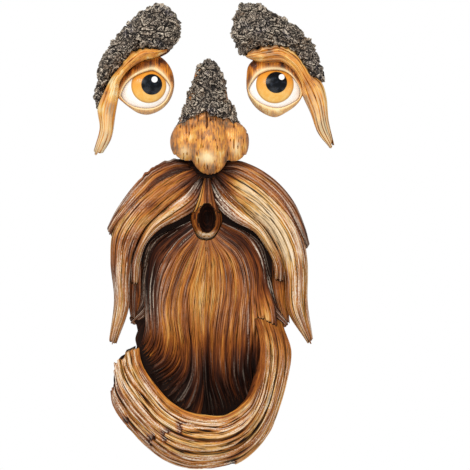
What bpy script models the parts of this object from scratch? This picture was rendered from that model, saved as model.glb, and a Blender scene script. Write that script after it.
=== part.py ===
"""A tree's face in four cast pieces: two eyes, a nose, and a mouth whose beard sweeps round into a bowl.

Metres, +Z up, the face looks along -Y and every flat back lies on y = 0. The carving is laid out on a drawing
of the whole face: guide points are (across, down) in drawing units and a depth out from the back. One unit is
a millimetre at the nominal height of each casting. A casting keeps its proportions when its height changes.
"""

import math

import bmesh
import bpy
import numpy as np

# Whole castings
BEARD_HEIGHT = 0.3115
LEFT_EYE_HEIGHT = 0.151
RIGHT_EYE_HEIGHT = 0.1455
NOSE_HEIGHT = 0.1165

# The same heights on the drawing
BEARD_UNITS = 311.5
LEFT_EYE_UNITS = 151.0
RIGHT_EYE_UNITS = 145.5
NOSE_UNITS = 116.5

# Where the castings hang, from the beard casting's fixing point
LEFT_EYE_ACROSS = 0.060
LEFT_EYE_UP = 0.112
RIGHT_EYE_ACROSS = 0.068
RIGHT_EYE_UP = 0.112
NOSE_GAP = 0.0035

# Walls and fits
BOWL_WALL = 0.0085
BACK_WALL = 0.013
MOUTH_WALL = 0.012
OVERHANG_CLEARANCE = 0.0025

# Keyhole for a screw head, sunk in each back
KEYHOLE_HEAD_RADIUS = 0.005
KEYHOLE_SHANK_RADIUS = 0.0024
KEYHOLE_RISE = 0.010
KEYHOLE_LIP = 0.003
KEYHOLE_DEPTH = 0.0075

# Carving
GROOVE = 0.0016
BAND_GROOVE = 1.5
FALL_GROOVE = 1.4
BARK_RELIEF = 0.0024
BARK_SPREAD = 1.3
BROKEN_END = 2.2
BAND_FLUTES = 8
FALL_FLUTES = 9

# Places and depths on the drawing
BEARD_TOP_UNITS = 42
UNDER_NOSE = 28
SIDE_DROP = 9
BOWL_MIDDLE = (205, 372, 30)
EYE_PLATE_OUT = 14
BEARD_PLATE_OUT = 9
BEHIND_WALL = -6

# Each solid reaches a little further behind the back than the one before it: no two floors lie together
BEHIND = 0.004
BEHIND_STEP = 0.07
PLATE_BEHIND = 1.6

KEPT_FACES = 0.55
ROUND_SIDES = 16


def clear_scene():
    for obj in list(bpy.data.objects):
        bpy.data.objects.remove(obj)


def new_collection(name, hidden):
    made = bpy.data.collections.new(name)
    bpy.context.scene.collection.children.link(made)
    made.hide_render = hidden
    return made


def curve(points, stations):
    """Evenly stepped points of a smooth curve through the guide points."""
    points = np.array(points, float)
    if points.ndim == 1:
        points = points[:, None]
    slope = np.gradient(points, axis=0)
    place = np.linspace(0, len(points) - 1, stations)
    low = np.minimum(place.astype(int), len(points) - 2)
    t = (place - low)[:, None]
    return (
        (2 * t**3 - 3 * t**2 + 1) * points[low]
        + (t**3 - 2 * t**2 + t) * slope[low]
        + (3 * t**2 - 2 * t**3) * points[low + 1]
        + (t**3 - t**2) * slope[low + 1]
    )


def scatter(*shape):
    """Repeatable values from -1 to 1 with no pattern to the eye."""
    count = np.arange(math.prod(shape)).reshape(shape) + 1
    return 2 * np.modf(np.abs(np.sin(count * 12.9898) * 43758.5453))[0] - 1


class Casting:
    """One cast piece: where its drawing lies in the object's frame, and the solids that are joined in it."""

    def __init__(self, name, scale, datum, at, colour):
        self.name = name
        self.scale = scale * 0.001
        self.datum = datum
        self.at = at
        self.colour = colour
        self.shapes = new_collection(name + "_shapes", True)
        self.cutters = new_collection(name + "_cutters", True)

    def place(self, points):
        """Drawing (across, down, depth) to object (x, y, z)."""
        points = np.asarray(points, float)
        x = self.at[0] + (points[..., 0] - self.datum[0]) * self.scale
        z = self.at[1] + (self.datum[1] - points[..., 1]) * self.scale
        return np.stack([x, -points[..., 2] * self.scale, z], axis=-1)

    def helper(self, mesh, name, collection):
        made = bpy.data.objects.new(self.name + "_" + name, mesh)
        collection.objects.link(made)
        made.hide_render = True
        made.display_type = "WIRE"
        return made

    def mesh(self, name, vertices, faces, collection=None):
        data = bpy.data.meshes.new(self.name + "_" + name)
        data.from_pydata([tuple(v) for v in vertices], [], faces)
        tidy = bmesh.new()
        tidy.from_mesh(data)
        bmesh.ops.triangulate(tidy, faces=tidy.faces)
        bmesh.ops.recalc_face_normals(tidy, faces=tidy.faces)
        tidy.to_mesh(data)
        tidy.free()
        return self.helper(data, name, collection or self.shapes)

    def lock(self, name, edges, crest, flutes, stations, groove=1.0, side=0.55, tip=0.0, jag=0.0, bark=0.0):
        """A lock of hair or slab of bark between two edge lines, fluted lengthwise, to behind the back."""
        across = 2 * flutes + 1
        share = np.linspace(0, 1, across)
        one = curve(edges[0], stations)
        other = curve(edges[1], stations)
        out = curve(crest, stations)
        plan = one[:, None] + (other - one)[:, None] * share[None, :, None]
        arch = side + (1 - side) * np.sqrt(np.clip(1 - (2 * share - 1) ** 2, 0, 1))
        fine = GROOVE / 0.001 * groove * (np.arange(across) % 2 == 0)
        depth = out * arch - fine
        along = np.gradient(plan, axis=0)
        along /= np.linalg.norm(along, axis=-1, keepdims=True)
        reach = tip * (1 - (2 * share - 1) ** 2) + jag * (np.arange(across) % 2 * 2 - 1)
        plan[-1] += along[-1] * reach[:, None]
        if bark:
            depth = depth + bark * BARK_RELIEF / 0.001 * scatter(stations, across)
            plan = plan + BARK_SPREAD * bark * scatter(stations, across, 2)
        top = self.place(np.concatenate([plan, depth[..., None]], axis=-1))
        self.relief(name, top)

    def relief(self, name, top):
        """A closed solid under a grid of surface points, down to behind the back."""
        rows, across = top.shape[:2]
        lower = BEHIND * (1 + BEHIND_STEP * len(self.shapes.objects))
        floor = top[:, [-1, 0]].copy()
        floor[..., 1] = lower
        ring = np.concatenate([top, floor], axis=1)
        size = across + 2
        faces = []
        for row in range(rows - 1):
            for k in range(size):
                a, b = row * size + k, row * size + (k + 1) % size
                faces.append((a, b, b + size, a + size))
        vertices = list(ring.reshape(-1, 3))
        for row in (0, rows - 1):
            middle = len(vertices)
            vertices.append(floor[row].mean(axis=0))
            for k in range(size):
                faces.append((row * size + k, row * size + (k + 1) % size, middle))
        self.mesh(name, vertices, faces)

    def ball(self, name, centre, radii, collection=None, sides=ROUND_SIDES):
        bpy.ops.mesh.primitive_uv_sphere_add(segments=sides, ring_count=sides // 2 + 1)
        made = bpy.context.object
        points = np.array([tuple(v.co) for v in made.data.vertices])
        data = made.data
        bpy.data.objects.remove(made)
        turned = points[:, [0, 2, 1]] * np.array(radii) * np.array([1, -1, 1])
        for vertex, point in zip(data.vertices, self.place(turned + np.array(centre))):
            vertex.co = point
        return self.finish(data, name, collection or self.shapes)

    def finish(self, data, name, collection):
        tidy = bmesh.new()
        tidy.from_mesh(data)
        bmesh.ops.recalc_face_normals(tidy, faces=tidy.faces)
        tidy.to_mesh(data)
        tidy.free()
        return self.helper(data, name, collection)

    def slab(self, name, outline, depth):
        """A flat plate with the given outline, from behind the back out to one depth."""
        flat = curve(list(outline) + [outline[0]], 3 * len(outline) + 1)[:-1]
        front = self.place(np.concatenate([flat, np.full((len(flat), 1), depth)], axis=1))
        back = front.copy()
        back[:, 1] = BEHIND * PLATE_BEHIND
        count = len(flat)
        faces = [(k, (k + 1) % count, count + (k + 1) % count, count + k) for k in range(count)]
        faces += [tuple(range(count)), tuple(range(2 * count - 1, count - 1, -1))]
        return self.mesh(name, np.concatenate([front, back]), faces)

    def box(self, name, low, high):
        corners = [
            (x, y, z)
            for x in (low[0], high[0])
            for y in (low[1], high[1])
            for z in (low[2], high[2])
        ]
        sides = [(0, 1, 3, 2), (4, 6, 7, 5), (0, 4, 5, 1), (2, 3, 7, 6), (0, 2, 6, 4), (1, 5, 7, 3)]
        return self.mesh(name, corners, sides, self.cutters)

    def keyhole(self, at):
        """Cutters for a screw head's way in and the slot above it that it slides up behind."""
        x, _, z = self.place((at[0], at[1], 0))

        def pill(name, radius, rise, near, far):
            turn = np.linspace(0, 2 * math.pi, ROUND_SIDES, endpoint=False)
            flat = np.stack([radius * np.cos(turn), radius * np.sin(turn)], axis=1)
            flat[:, 1] += np.where(flat[:, 1] > 1e-9, rise, 0)
            front = np.stack([x + flat[:, 0], np.full(len(flat), -far), z + flat[:, 1]], axis=1)
            back = front.copy()
            back[:, 1] = -near
            count = len(flat)
            faces = [(k, (k + 1) % count, count + (k + 1) % count, count + k) for k in range(count)]
            faces += [tuple(range(count)), tuple(range(2 * count - 1, count - 1, -1))]
            self.mesh(name, np.concatenate([front, back]), faces, self.cutters)

        pill("keyhole_entry", KEYHOLE_HEAD_RADIUS, 0, -BEHIND, KEYHOLE_DEPTH)
        pill("keyhole_neck", KEYHOLE_SHANK_RADIUS, KEYHOLE_RISE, -BEHIND, KEYHOLE_LIP + 0.0004)
        pill("keyhole_channel", KEYHOLE_HEAD_RADIUS * 0.96, KEYHOLE_RISE, KEYHOLE_LIP, KEYHOLE_DEPTH * 0.985)

    def join(self, collection):
        """The finished node: the shapes joined, then the back and the openings cut."""
        first = self.shapes.objects[0]
        made = bpy.data.objects.new(self.name, first.data.copy())
        collection.objects.link(made)
        self.shapes.objects.unlink(first)
        bpy.data.objects.remove(first)
        self.box("behind", (-0.5, 0, -0.6), (0.5, 0.2, 0.6))
        for name, kind, operand in (("join", "UNION", self.shapes), ("cut", "DIFFERENCE", self.cutters)):
            step = made.modifiers.new(name, "BOOLEAN")
            step.operation = kind
            step.solver = "MANIFOLD"
            step.operand_type = "COLLECTION"
            step.collection = operand
            if kind == "UNION":
                fewer = made.modifiers.new("fewer", "DECIMATE")
                fewer.ratio = KEPT_FACES
        material = bpy.data.materials.new(self.name)
        material.use_nodes = True
        shader = material.node_tree.nodes["Principled BSDF"]
        shader.inputs["Base Color"].default_value = (*self.colour, 1)
        shader.inputs["Roughness"].default_value = 0.5
        made.data.materials.clear()
        made.data.materials.append(material)
        return made


WOOD = (0.42, 0.22, 0.08)


def left_eye():
    scale = LEFT_EYE_HEIGHT / LEFT_EYE_UNITS * 1000
    eye = Casting("left_eye", scale, (147, 88), (-LEFT_EYE_ACROSS, LEFT_EYE_UP), WOOD)
    backing = [(112, 96), (112, 76), (128, 55), (150, 36), (168, 36), (166, 60), (168, 88), (150, 106)]
    backing += [(130, 103)]
    eye.slab("plate", backing, EYE_PLATE_OUT)
    eye.ball("socket", (146.5, 86, 2), (27, 28.5, 20))
    eye.ball("eyeball", (147, 89, 4), (25, 22, 23), sides=20)
    upper_lid = (
        [(118, 94), (124, 83), (135, 74), (150, 68), (163, 72), (170, 84), (173, 92)],
        [(120, 97), (128, 86), (138, 79), (150, 74), (160, 77), (166, 87), (170, 93)],
    )
    lower_lid = (
        [(117, 97), (127, 105), (137, 111), (149, 113), (161, 107), (169, 99), (173, 90)],
        [(122, 96), (130, 102), (139, 106), (149, 107), (158, 103), (165, 96), (170, 89)],
    )
    brow_above = [(168, 47), (155, 46), (142, 45), (127, 57), (113, 73), (104, 90), (97, 108), (99, 128)]
    brow_above += [(93, 150)]
    brow_below = [(166, 51), (155, 57), (143, 60), (130, 68), (120, 81), (118, 96), (115, 113), (111, 137)]
    brow_below += [(102, 153)]
    bark = (
        [(96, 109), (95, 86), (99.5, 64), (110, 43), (128, 22), (147, 7), (162, 5), (175, 14), (180, 26)],
        [(100, 107), (107, 86), (116, 72), (129, 58), (143, 47), (155, 49), (164, 50), (171, 49), (178, 40)],
    )
    eye.lock("upper_lid", upper_lid, (16, 25, 28, 29, 28, 24, 16), 1, 14, 0, 0.8)
    eye.lock("lower_lid", lower_lid, (16, 22, 24, 25, 24, 21, 16), 1, 14, 0, 0.8)
    brow = (brow_above, brow_below)
    eye.lock("brow_fold", brow, (22, 30, 33, 34, 33, 31, 27, 22, 13), 3, 17, 0.7, 0.6, 2, 0.5)
    eye.lock("bark", bark, (15, 24, 31, 36, 39, 40, 38, 34, 24), 4, 17, 0, 0.5, 0, 0, 1)
    eye.keyhole((146, 66))
    return eye


def right_eye():
    scale = RIGHT_EYE_HEIGHT / RIGHT_EYE_UNITS * 1000
    eye = Casting("right_eye", scale, (275, 88), (RIGHT_EYE_ACROSS, RIGHT_EYE_UP), WOOD)
    backing = [(308, 92), (306, 72), (296, 52), (272, 34), (250, 34), (252, 60), (252, 88), (268, 108)]
    backing += [(292, 104)]
    eye.slab("plate", backing, EYE_PLATE_OUT)
    eye.ball("socket", (275, 87.5, 2), (28, 28.5, 20))
    eye.ball("eyeball", (275, 89, 4), (26, 22, 23), sides=20)
    upper_lid = (
        [(246.5, 88), (251, 78), (261, 69), (276, 66), (291, 71), (300, 82), (303, 95)],
        [(249, 90), (255, 82), (265, 75), (276, 72), (288, 77), (295, 87), (300, 97)],
    )
    lower_lid = (
        [(247, 88), (254, 102), (265, 112), (277, 115), (290, 109.5), (299, 101), (304, 94)],
        [(251, 88), (258, 98), (267, 105), (277, 108), (287, 104), (295, 98), (300, 94)],
    )
    brow_above = [(245, 54), (256, 48), (269, 45), (281, 43), (298, 52), (311, 72), (322, 82), (327, 97)]
    brow_above += [(329, 119), (334, 141)]
    brow_below = [(247, 57), (258, 61), (270, 61), (283, 62), (295, 72), (302, 85), (303, 95), (311, 113)]
    brow_below += [(318, 132), (328, 145)]
    bark_above = [(243, 55), (233, 41), (232.5, 24), (241, 4), (257, 4), (276, 14), (295, 26), (312, 43)]
    bark_above += [(321, 61), (325, 82)]
    bark_below = [(247, 54), (250, 50), (256, 49), (262, 48), (270, 46), (280, 45), (292, 51), (304, 64)]
    bark_below += [(312, 79), (320, 82)]
    brow = (brow_above, brow_below)
    bark = (bark_above, bark_below)
    eye.lock("upper_lid", upper_lid, (16, 25, 28, 29, 28, 24, 16), 1, 14, 0, 0.8)
    eye.lock("lower_lid", lower_lid, (16, 22, 24, 25, 24, 21, 16), 1, 14, 0, 0.8)
    eye.lock("brow_fold", brow, (22, 30, 33, 34, 34, 32, 29, 26, 21, 13), 3, 18, 0.7, 0.6, 1, 1.6)
    eye.lock("bark", bark, (18, 28, 35, 39, 40, 40, 38, 35, 30, 19), 4, 18, 0, 0.5, 0, 0, 1)
    eye.keyhole((276, 66))
    return eye


def nose(beard_top):
    """The nose stands just above the moustache, and its bulb and lobes hang out in front of it."""
    scale = NOSE_HEIGHT / NOSE_UNITS * 1000
    made = Casting("nose", scale, (207, 155), (0, beard_top + NOSE_GAP), WOOD)
    bridge = (
        [(206, 62), (196, 70), (192, 86), (188, 100), (183, 114), (177, 128), (176, 144), (180, 153)],
        [(209, 62), (219, 69), (225, 84), (228, 98), (233, 113), (240, 128), (243, 144), (240, 153)],
    )
    bark = (
        [(205, 59.5), (195, 68), (191, 84), (187.5, 98), (182, 111), (175, 127)],
        [(209, 59.5), (219, 66), (226, 84), (228.5, 98), (234, 111), (243, 128)],
    )
    made.lock("bridge", bridge, (12, 18, 25, 31, 35, 38, 34, 30), 2, 12, 0, 0.45)
    made.ball("bulb", (209.5, 145.5, 31), (20.5, 29, 30), sides=22)
    made.ball("left_lobe", (187, 142, 22), (17, 19, 23))
    made.ball("right_lobe", (233, 142, 22), (16, 19.5, 23))
    made.lock("bark", bark, (12, 21, 29, 35, 40, 40), 4, 13, 0, 0.5, -14, 0, 1)
    made.keyhole((207, 92))
    low = made.at[1]
    front = UNDER_NOSE * BEARD_HEIGHT / BEARD_UNITS + OVERHANG_CLEARANCE
    made.box("underside", (-0.2, -front, low - 0.2), (0.2, 0.2, low))
    return made


def bowl_band(beard):
    """The beard's lower end as a fluted band that leaves the back, swings out in front and comes back."""
    rim = [(139, 349, 22), (141, 361, 36), (147, 373, 52), (157, 386, 67), (170, 400, 81), (187, 410, 91)]
    rim += [(204, 413.5, 95), (222, 414.5, 94), (238, 407, 86), (250, 395, 72), (257, 378, 57)]
    rim += [(260, 362, 44), (260, 346, 34), (257, 329, 25), (251, 311, 18)]
    bulge = [(115, 363, 38), (122, 384, 54), (133, 401, 69), (146, 416, 82), (160, 429, 93), (178, 439, 100)]
    bulge += [(197, 444, 102), (218, 444, 101), (237, 438, 95), (252, 425, 83), (263, 406, 67)]
    bulge += [(270, 382, 51), (274, 357, 39), (272, 337, 27), (264, 313, 17)]
    edge = [(109, 390, 24), (112, 405, 30), (121, 420, 36), (134, 434.5, 42), (148, 448, 48), (166, 461, 53)]
    edge += [(189, 468.5, 56), (214, 467.5, 56), (236, 461.5, 52), (253, 449.5, 46), (268, 431, 38)]
    edge += [(279, 404, 31), (287, 375, 25), (289, 349, 20), (281, 322, 13)]
    wall = [(118, 386, -5), (123, 399, -5), (132, 411, -5), (143, 423, -5), (156, 435, -5), (172, 446, -5)]
    wall += [(190, 452, -5), (212, 452, -5), (232, 446, -5), (247, 435, -5), (260, 418, -5), (271, 395, -5)]
    wall += [(280, 371, -5), (284, 348, -5), (277, 324, -5)]
    stations = 27
    steps = 4 * BAND_FLUTES + 4
    guides = [curve(line, stations) for line in (rim, bulge, edge, wall)]
    outer = np.array([curve([guide[row] for guide in guides], steps) for row in range(stations)])
    across = np.gradient(outer, axis=1)
    along = np.gradient(outer, axis=0)
    normal = np.cross(along, across)
    normal /= np.linalg.norm(normal, axis=-1, keepdims=True)
    normal *= np.sign(((outer - np.array(BOWL_MIDDLE)) * normal).sum(axis=-1, keepdims=True))
    inner = outer - normal * BOWL_WALL / beard.scale
    solid = np.clip(np.minimum(np.linspace(0, 7, stations), np.linspace(7, 0, stations)), 0, 1) ** 0.7
    inner[..., 2] = np.minimum(inner[..., 2], outer[..., 2] - 4)
    inner[..., 2] = solid[:, None] * inner[..., 2] + (1 - solid[:, None]) * BEHIND_WALL
    count = np.arange(steps)
    groove = GROOVE / beard.scale * np.where((count % 4 == 2) & (count > 4), BAND_GROOVE, 0)
    outer = outer - normal * groove[None, :, None]
    along /= np.linalg.norm(along, axis=-1, keepdims=True)
    outer[0] -= along[0] * (BROKEN_END * scatter(steps) * (count < steps * 0.7))[:, None]
    ring = np.concatenate([beard.place(outer), beard.place(inner)[:, ::-1]], axis=1)
    size = 2 * steps
    faces = []
    for row in range(stations - 1):
        for k in range(size):
            a, b = row * size + k, row * size + (k + 1) % size
            faces.append((a, b, b + size, a + size))
    for row in (0, stations - 1):
        for k in range(steps - 1):
            start = row * size
            faces.append((start + k, start + k + 1, start + size - 2 - k, start + size - 1 - k))
    beard.mesh("bowl_band", ring.reshape(-1, 3), faces)


def beard_fall(beard):
    """The hair below the mouth: it fans out, draws in, and on the left curls round at the foot."""
    left = [
        [(190, 221), (172, 230), (153, 246), (146, 272), (144, 299), (145, 325), (140, 345), (133, 352)],
        [(196, 236), (180, 256), (168, 285), (164, 310), (166, 335), (162, 356), (150, 366), (136, 366)],
        [(201, 240), (192, 262), (182, 290), (180, 320), (183, 348), (178, 370), (160, 384), (146, 384)],
        [(208, 241), (206, 265), (204, 290), (202, 320), (203, 350), (205, 390), (195, 425), (170, 425)],
    ]
    right = [
        [(205, 241), (205, 265), (203, 290), (201, 320), (202, 350), (204, 390), (208, 420), (212, 440)],
        [(211, 240), (220, 262), (222, 290), (218, 320), (216, 350), (218, 380), (226, 405), (230, 430)],
        [(216, 236), (236, 256), (244, 285), (242, 315), (240, 345), (240, 375), (246, 400), (250, 420)],
        [(223, 222), (247, 234), (262, 255), (268, 285), (276, 312), (276, 340), (272, 375), (266, 400)],
    ]
    back = BACK_WALL / beard.scale
    stations = 17
    across = 2 * FALL_FLUTES + 1
    valley = FALL_GROOVE * GROOVE / beard.scale * (np.arange(across) % 2 == 0)
    out = curve((25, 24, 23, 21, 19, 17, back, back), stations) - valley
    fading = np.clip(1 - np.linspace(0, 1.6, stations), 0, 1)[:, None]
    from_side = np.minimum(np.arange(across), 8) / 8
    for name, family, inwards in (("left_fall", left, from_side), ("right_fall", right, from_side[::-1])):
        strands = np.array([curve(line, stations) for line in family])
        plan = np.array([curve(strands[:, row], across) for row in range(stations)])
        depth = out - SIDE_DROP * fading * (1 - inwards) ** 1.5
        beard.relief(name, beard.place(np.concatenate([plan, depth[..., None]], axis=-1)))
    left_flick = (
        [(176, 229), (154, 244), (146, 272), (142, 302), (130, 318)],
        [(184, 236), (168, 258), (160, 285), (156, 308), (135, 325)],
    )
    right_flick = (
        [(236, 229), (257, 246), (267, 280), (275, 307), (288, 320)],
        [(228, 236), (246, 258), (254, 285), (262, 308), (284, 328)],
    )
    beard.lock("left_flick", left_flick, (18, 18, 17, 15, 9), 2, 12, 0.8, 0.6, 2)
    beard.lock("right_flick", right_flick, (18, 18, 17, 15, 9), 2, 12, 0.8, 0.6, 2)


def moustache(beard):
    root = (
        [(174, 161), (190, 160), (207, 159.5), (224, 160), (240, 162)],
        [(184, 186), (195, 182), (207, 180), (219, 182), (230, 186)],
    )
    left_under = ([(126, 262), (126, 290), (130, 318)], [(141, 262), (141, 295), (137, 322)])
    right_under = ([(272, 262), (273, 290), (281, 316)], [(288, 262), (288, 295), (290, 324)])
    left_outer = (
        [(186, 160), (172, 159), (153, 166), (140, 178), (128, 192), (115, 211), (107, 227)],
        [(194, 176), (178, 178), (158, 190), (147, 203), (136, 214), (124, 226), (112, 237)],
    )
    right_outer = (
        [(228, 160), (242, 161), (262, 170), (280, 184), (295, 203), (305, 226), (310, 244)],
        [(220, 176), (234, 178), (252, 190), (266, 203), (280, 220), (292, 236), (303, 250)],
    )
    left_long = (
        [(190, 165), (172, 169), (150, 184), (130, 205), (113, 230), (110, 262), (113.5, 300), (108.5, 340)],
        [(201, 180), (181, 198), (161, 214), (144, 230), (134, 252), (130, 280), (128, 310), (116, 344)],
    )
    right_long = (
        [(224, 165), (244, 171), (267, 187), (290, 212), (303, 237), (308, 264), (308, 302), (313, 337)],
        [(213, 180), (231, 201), (252, 217), (269, 233), (281, 257), (285, 280), (288, 312), (306, 341)],
    )
    left_short = (
        [(199, 170), (184, 190), (165, 207), (148, 224), (137, 245), (130, 264), (130, 284)],
        [(206, 190), (198, 207), (178, 220), (160, 229), (146, 244), (140, 263), (138, 284)],
    )
    right_short = (
        [(215, 170), (231, 191), (249, 209), (266, 229), (278, 250), (285, 266), (284, 281)],
        [(208, 190), (215, 205), (233, 221), (254, 232), (267, 250), (273, 264), (275, 281)],
    )
    beard.lock("root", root, (17, 20, 21, 20, 17), 3, 10, 0.7, 0.8)
    beard.lock("left_under", left_under, (22, 19, 11), 2, 7, 0.8)
    beard.lock("right_under", right_under, (22, 19, 11), 2, 7, 0.8)
    beard.lock("left_outer", left_outer, (22, 27, 31, 34, 34, 31, 23), 3, 15, 1, 0.55, 1, 1)
    beard.lock("right_outer", right_outer, (22, 27, 31, 34, 34, 31, 23), 3, 15, 1, 0.55, 1, 1)
    beard.lock("left_long", left_long, (22, 29, 36, 41, 42, 39, 31, 17), 5, 20, 1, 0.6, 2, 1)
    beard.lock("right_long", right_long, (22, 29, 36, 41, 42, 39, 31, 17), 5, 20, 1, 0.6, 2, 2)
    beard.lock("left_short", left_short, (20, 26, 31, 34, 35, 33, 27), 3, 16, 1, 0.6, 0, 1)
    beard.lock("right_short", right_short, (20, 26, 31, 34, 35, 33, 27), 3, 16, 1, 0.6, 0, 1)


def mouth(beard):
    arch = ([(205.5, 188), (201, 200), (196, 214)], [(209, 188), (212, 200), (217, 214)])
    beard.ball("lips", (206.3, 219, 8), (16, 22, 24))
    beard.lock("lip_arch", arch, (22, 27, 28), 1, 6, 0, 0.8)
    in_front = 40
    reach = in_front - MOUTH_WALL / beard.scale
    beard.ball("mouth", (206.8, 217, in_front), (7.6, 15.5, reach), beard.cutters, 14)


def beard_bowl():
    scale = BEARD_HEIGHT / BEARD_UNITS * 1000
    beard = Casting("beard_bowl", scale, (207, 200), (0, 0), WOOD)
    plate = [(207, 172), (172, 176), (142, 200), (126, 235), (124, 290), (131, 312), (137, 330), (137, 349)]
    plate += [(124, 368), (126, 396), (150, 427), (190, 449), (232, 443), (264, 410), (282, 350), (284, 318)]
    plate += [(296, 300), (292, 235), (272, 200), (242, 176)]
    floor = [(207, 300), (160, 310), (141, 326), (135, 340), (136, 350), (120, 359), (115, 372), (114, 386)]
    floor += [(128, 402), (152, 428), (190, 448), (232, 442), (262, 410), (280, 350), (278, 322), (250, 308)]
    beard.slab("plate", plate, BEARD_PLATE_OUT)
    beard.slab("bowl_back", floor, BACK_WALL / beard.scale - 0.3)
    beard_fall(beard)
    bowl_band(beard)
    moustache(beard)
    mouth(beard)
    beard.keyhole((207, 238))
    return beard


def main():
    clear_scene()
    face = new_collection("tree_face_bird_feeder", False)
    beard = beard_bowl()
    beard_top = BEARD_TOP_UNITS * beard.scale
    for casting in (left_eye(), right_eye(), nose(beard_top), beard):
        casting.join(face)


main()
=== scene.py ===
"""Painted cast-resin tree face in four hanging pieces: two eyes, a nose and a bearded mouth with a bowl.

Carving is laid out on one drawing of the whole face. A drawing point is (across, down, out): across and
down count millimetres from the drawing's upper left corner, and out is the height above the flat backs.
"""

import logging
import math
from dataclasses import dataclass, field
from enum import Enum
from typing import Optional, Sequence

import bpy
import numpy as np
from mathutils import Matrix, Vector, kdtree


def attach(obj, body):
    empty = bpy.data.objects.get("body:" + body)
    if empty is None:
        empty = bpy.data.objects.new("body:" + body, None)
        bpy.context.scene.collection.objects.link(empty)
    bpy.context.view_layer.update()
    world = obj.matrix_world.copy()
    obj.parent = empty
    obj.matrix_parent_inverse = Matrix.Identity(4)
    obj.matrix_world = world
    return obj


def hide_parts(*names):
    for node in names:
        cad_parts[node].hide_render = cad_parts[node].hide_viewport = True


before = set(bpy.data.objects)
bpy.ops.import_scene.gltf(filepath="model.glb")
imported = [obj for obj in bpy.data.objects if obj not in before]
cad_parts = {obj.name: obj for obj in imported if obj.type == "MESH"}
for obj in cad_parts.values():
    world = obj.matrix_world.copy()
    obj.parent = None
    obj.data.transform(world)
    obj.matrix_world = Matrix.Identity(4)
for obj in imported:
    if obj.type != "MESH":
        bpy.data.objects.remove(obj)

LOG = logging.getLogger("tree_face")

MM = 0.001
DRAWING_CENTRE = (207.0, 200.0)
HASH_FACTORS = (374761393, 668265263, 974711)
HASH_MIX = 1274126177
HASH_BITS = 0xFFFFFFFF
SEED_STEP = 61.0
SKIN_CELL = 0.85
LARGE_CHIP = (8.4, (1.6, 1.0, 0.8))
SMALL_CHIP = (4.2, (0.8, 1.0, 2.0))
BROW_BACKING = 6.0
CUT_BEHIND = -9.0
CUT_OVERLAP = 0.4
BEHIND_ALL = ((-60, -80), (480, -80), (480, 560), (-60, 560))
SHARP_EDGE = math.radians(62)
SENSOR_WIDTH = 36.0
VIEW_WIDTH = 0.470
VIEW_DISTANCE = 8.0

Guide = Sequence[Sequence[float]]


class Paint(Enum):
    """The painted surfaces that a casting can carry."""

    HAIR = "hair"
    WOOD = "wood"
    BARK = "bark"
    LEFT_EYEBALL = "left_eyeball"
    RIGHT_EYEBALL = "right_eyeball"
    BACK = "back"


# Numbers without a pattern


def lattice(across: np.ndarray, along: np.ndarray, seed: int) -> np.ndarray:
    """Repeatable values on a whole-number grid.

    Args:
        across: First grid coordinate of each value.
        along: Second grid coordinate of each value.
        seed: Picks one of many unlike grids.

    Returns:
        Values from 0 to 1.
    """
    mixed = across.astype(np.int64) * HASH_FACTORS[0] + along.astype(np.int64) * HASH_FACTORS[1]
    mixed = (mixed + seed * HASH_FACTORS[2]) & HASH_BITS
    mixed = ((mixed ^ (mixed >> 13)) * HASH_MIX) & HASH_BITS
    return ((mixed ^ (mixed >> 16)) & 0xFFFF) / 65535.0


def noise(across: np.ndarray, along: np.ndarray, seed: int) -> np.ndarray:
    """Smooth noise on a plane.

    Args:
        across: First coordinate of each sample.
        along: Second coordinate of each sample.
        seed: Picks one of many unlike fields.

    Returns:
        Values from 0 to 1, one cell to the unit.
    """
    across, along = np.broadcast_arrays(np.asarray(across, float), np.asarray(along, float))
    i, j = np.floor(across), np.floor(along)
    u, v = across - i, along - j
    u, v = u * u * (3 - 2 * u), v * v * (3 - 2 * v)
    low = lattice(i, j, seed) * (1 - u) + lattice(i + 1, j, seed) * u
    high = lattice(i, j + 1, seed) * (1 - u) + lattice(i + 1, j + 1, seed) * u
    return low * (1 - v) + high * v


def smooth_step(values: np.ndarray, low: float, high: float) -> np.ndarray:
    """A ramp with soft ends.

    Args:
        values: What is ramped.
        low: Value that gives 0.
        high: Value that gives 1.

    Returns:
        Shares from 0 to 1.
    """
    share = np.clip((values - low) / (high - low), 0, 1)
    return share * share * (3 - 2 * share)


def hump(values: np.ndarray, middle: float, width: float) -> np.ndarray:
    """A bell-shaped rise.

    Args:
        values: Where it is read.
        middle: Value that gives 1.
        width: How far from the middle it has sunk to about a third.

    Returns:
        Shares from 0 to 1.
    """
    return np.exp(-(((values - middle) / width) ** 2))


def spot(across: np.ndarray, down: np.ndarray, middle: Sequence[float],
         reach: Sequence[float]) -> np.ndarray:
    """A soft patch on the drawing.

    Args:
        across: First drawing coordinate of each sample.
        down: Second drawing coordinate of each sample.
        middle: Both coordinates of the patch.
        reach: Its widths both ways.

    Returns:
        Shares from 0 to 1.
    """
    return hump(across, middle[0], reach[0]) * hump(down, middle[1], reach[1])


def curve(points: Guide, stations: int) -> np.ndarray:
    """Evenly stepped points of a smooth curve through guide points.

    Args:
        points: Guide points, or plain numbers for a profile along a lock.
        stations: How many points are wanted.

    Returns:
        One row for each station.
    """
    guide = np.array(points, float)
    if guide.ndim == 1:
        guide = guide[:, None]
    slope = np.gradient(guide, axis=0)
    place = np.linspace(0, len(guide) - 1, stations)
    low = np.minimum(place.astype(int), len(guide) - 2)
    t = (place - low).reshape((-1,) + (1,) * (guide.ndim - 1))
    return (
        (2 * t**3 - 3 * t**2 + 1) * guide[low]
        + (t**3 - 2 * t**2 + t) * slope[low]
        + (3 * t**2 - 2 * t**3) * guide[low + 1]
        + (t**3 - t**2) * slope[low + 1]
    )


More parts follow.
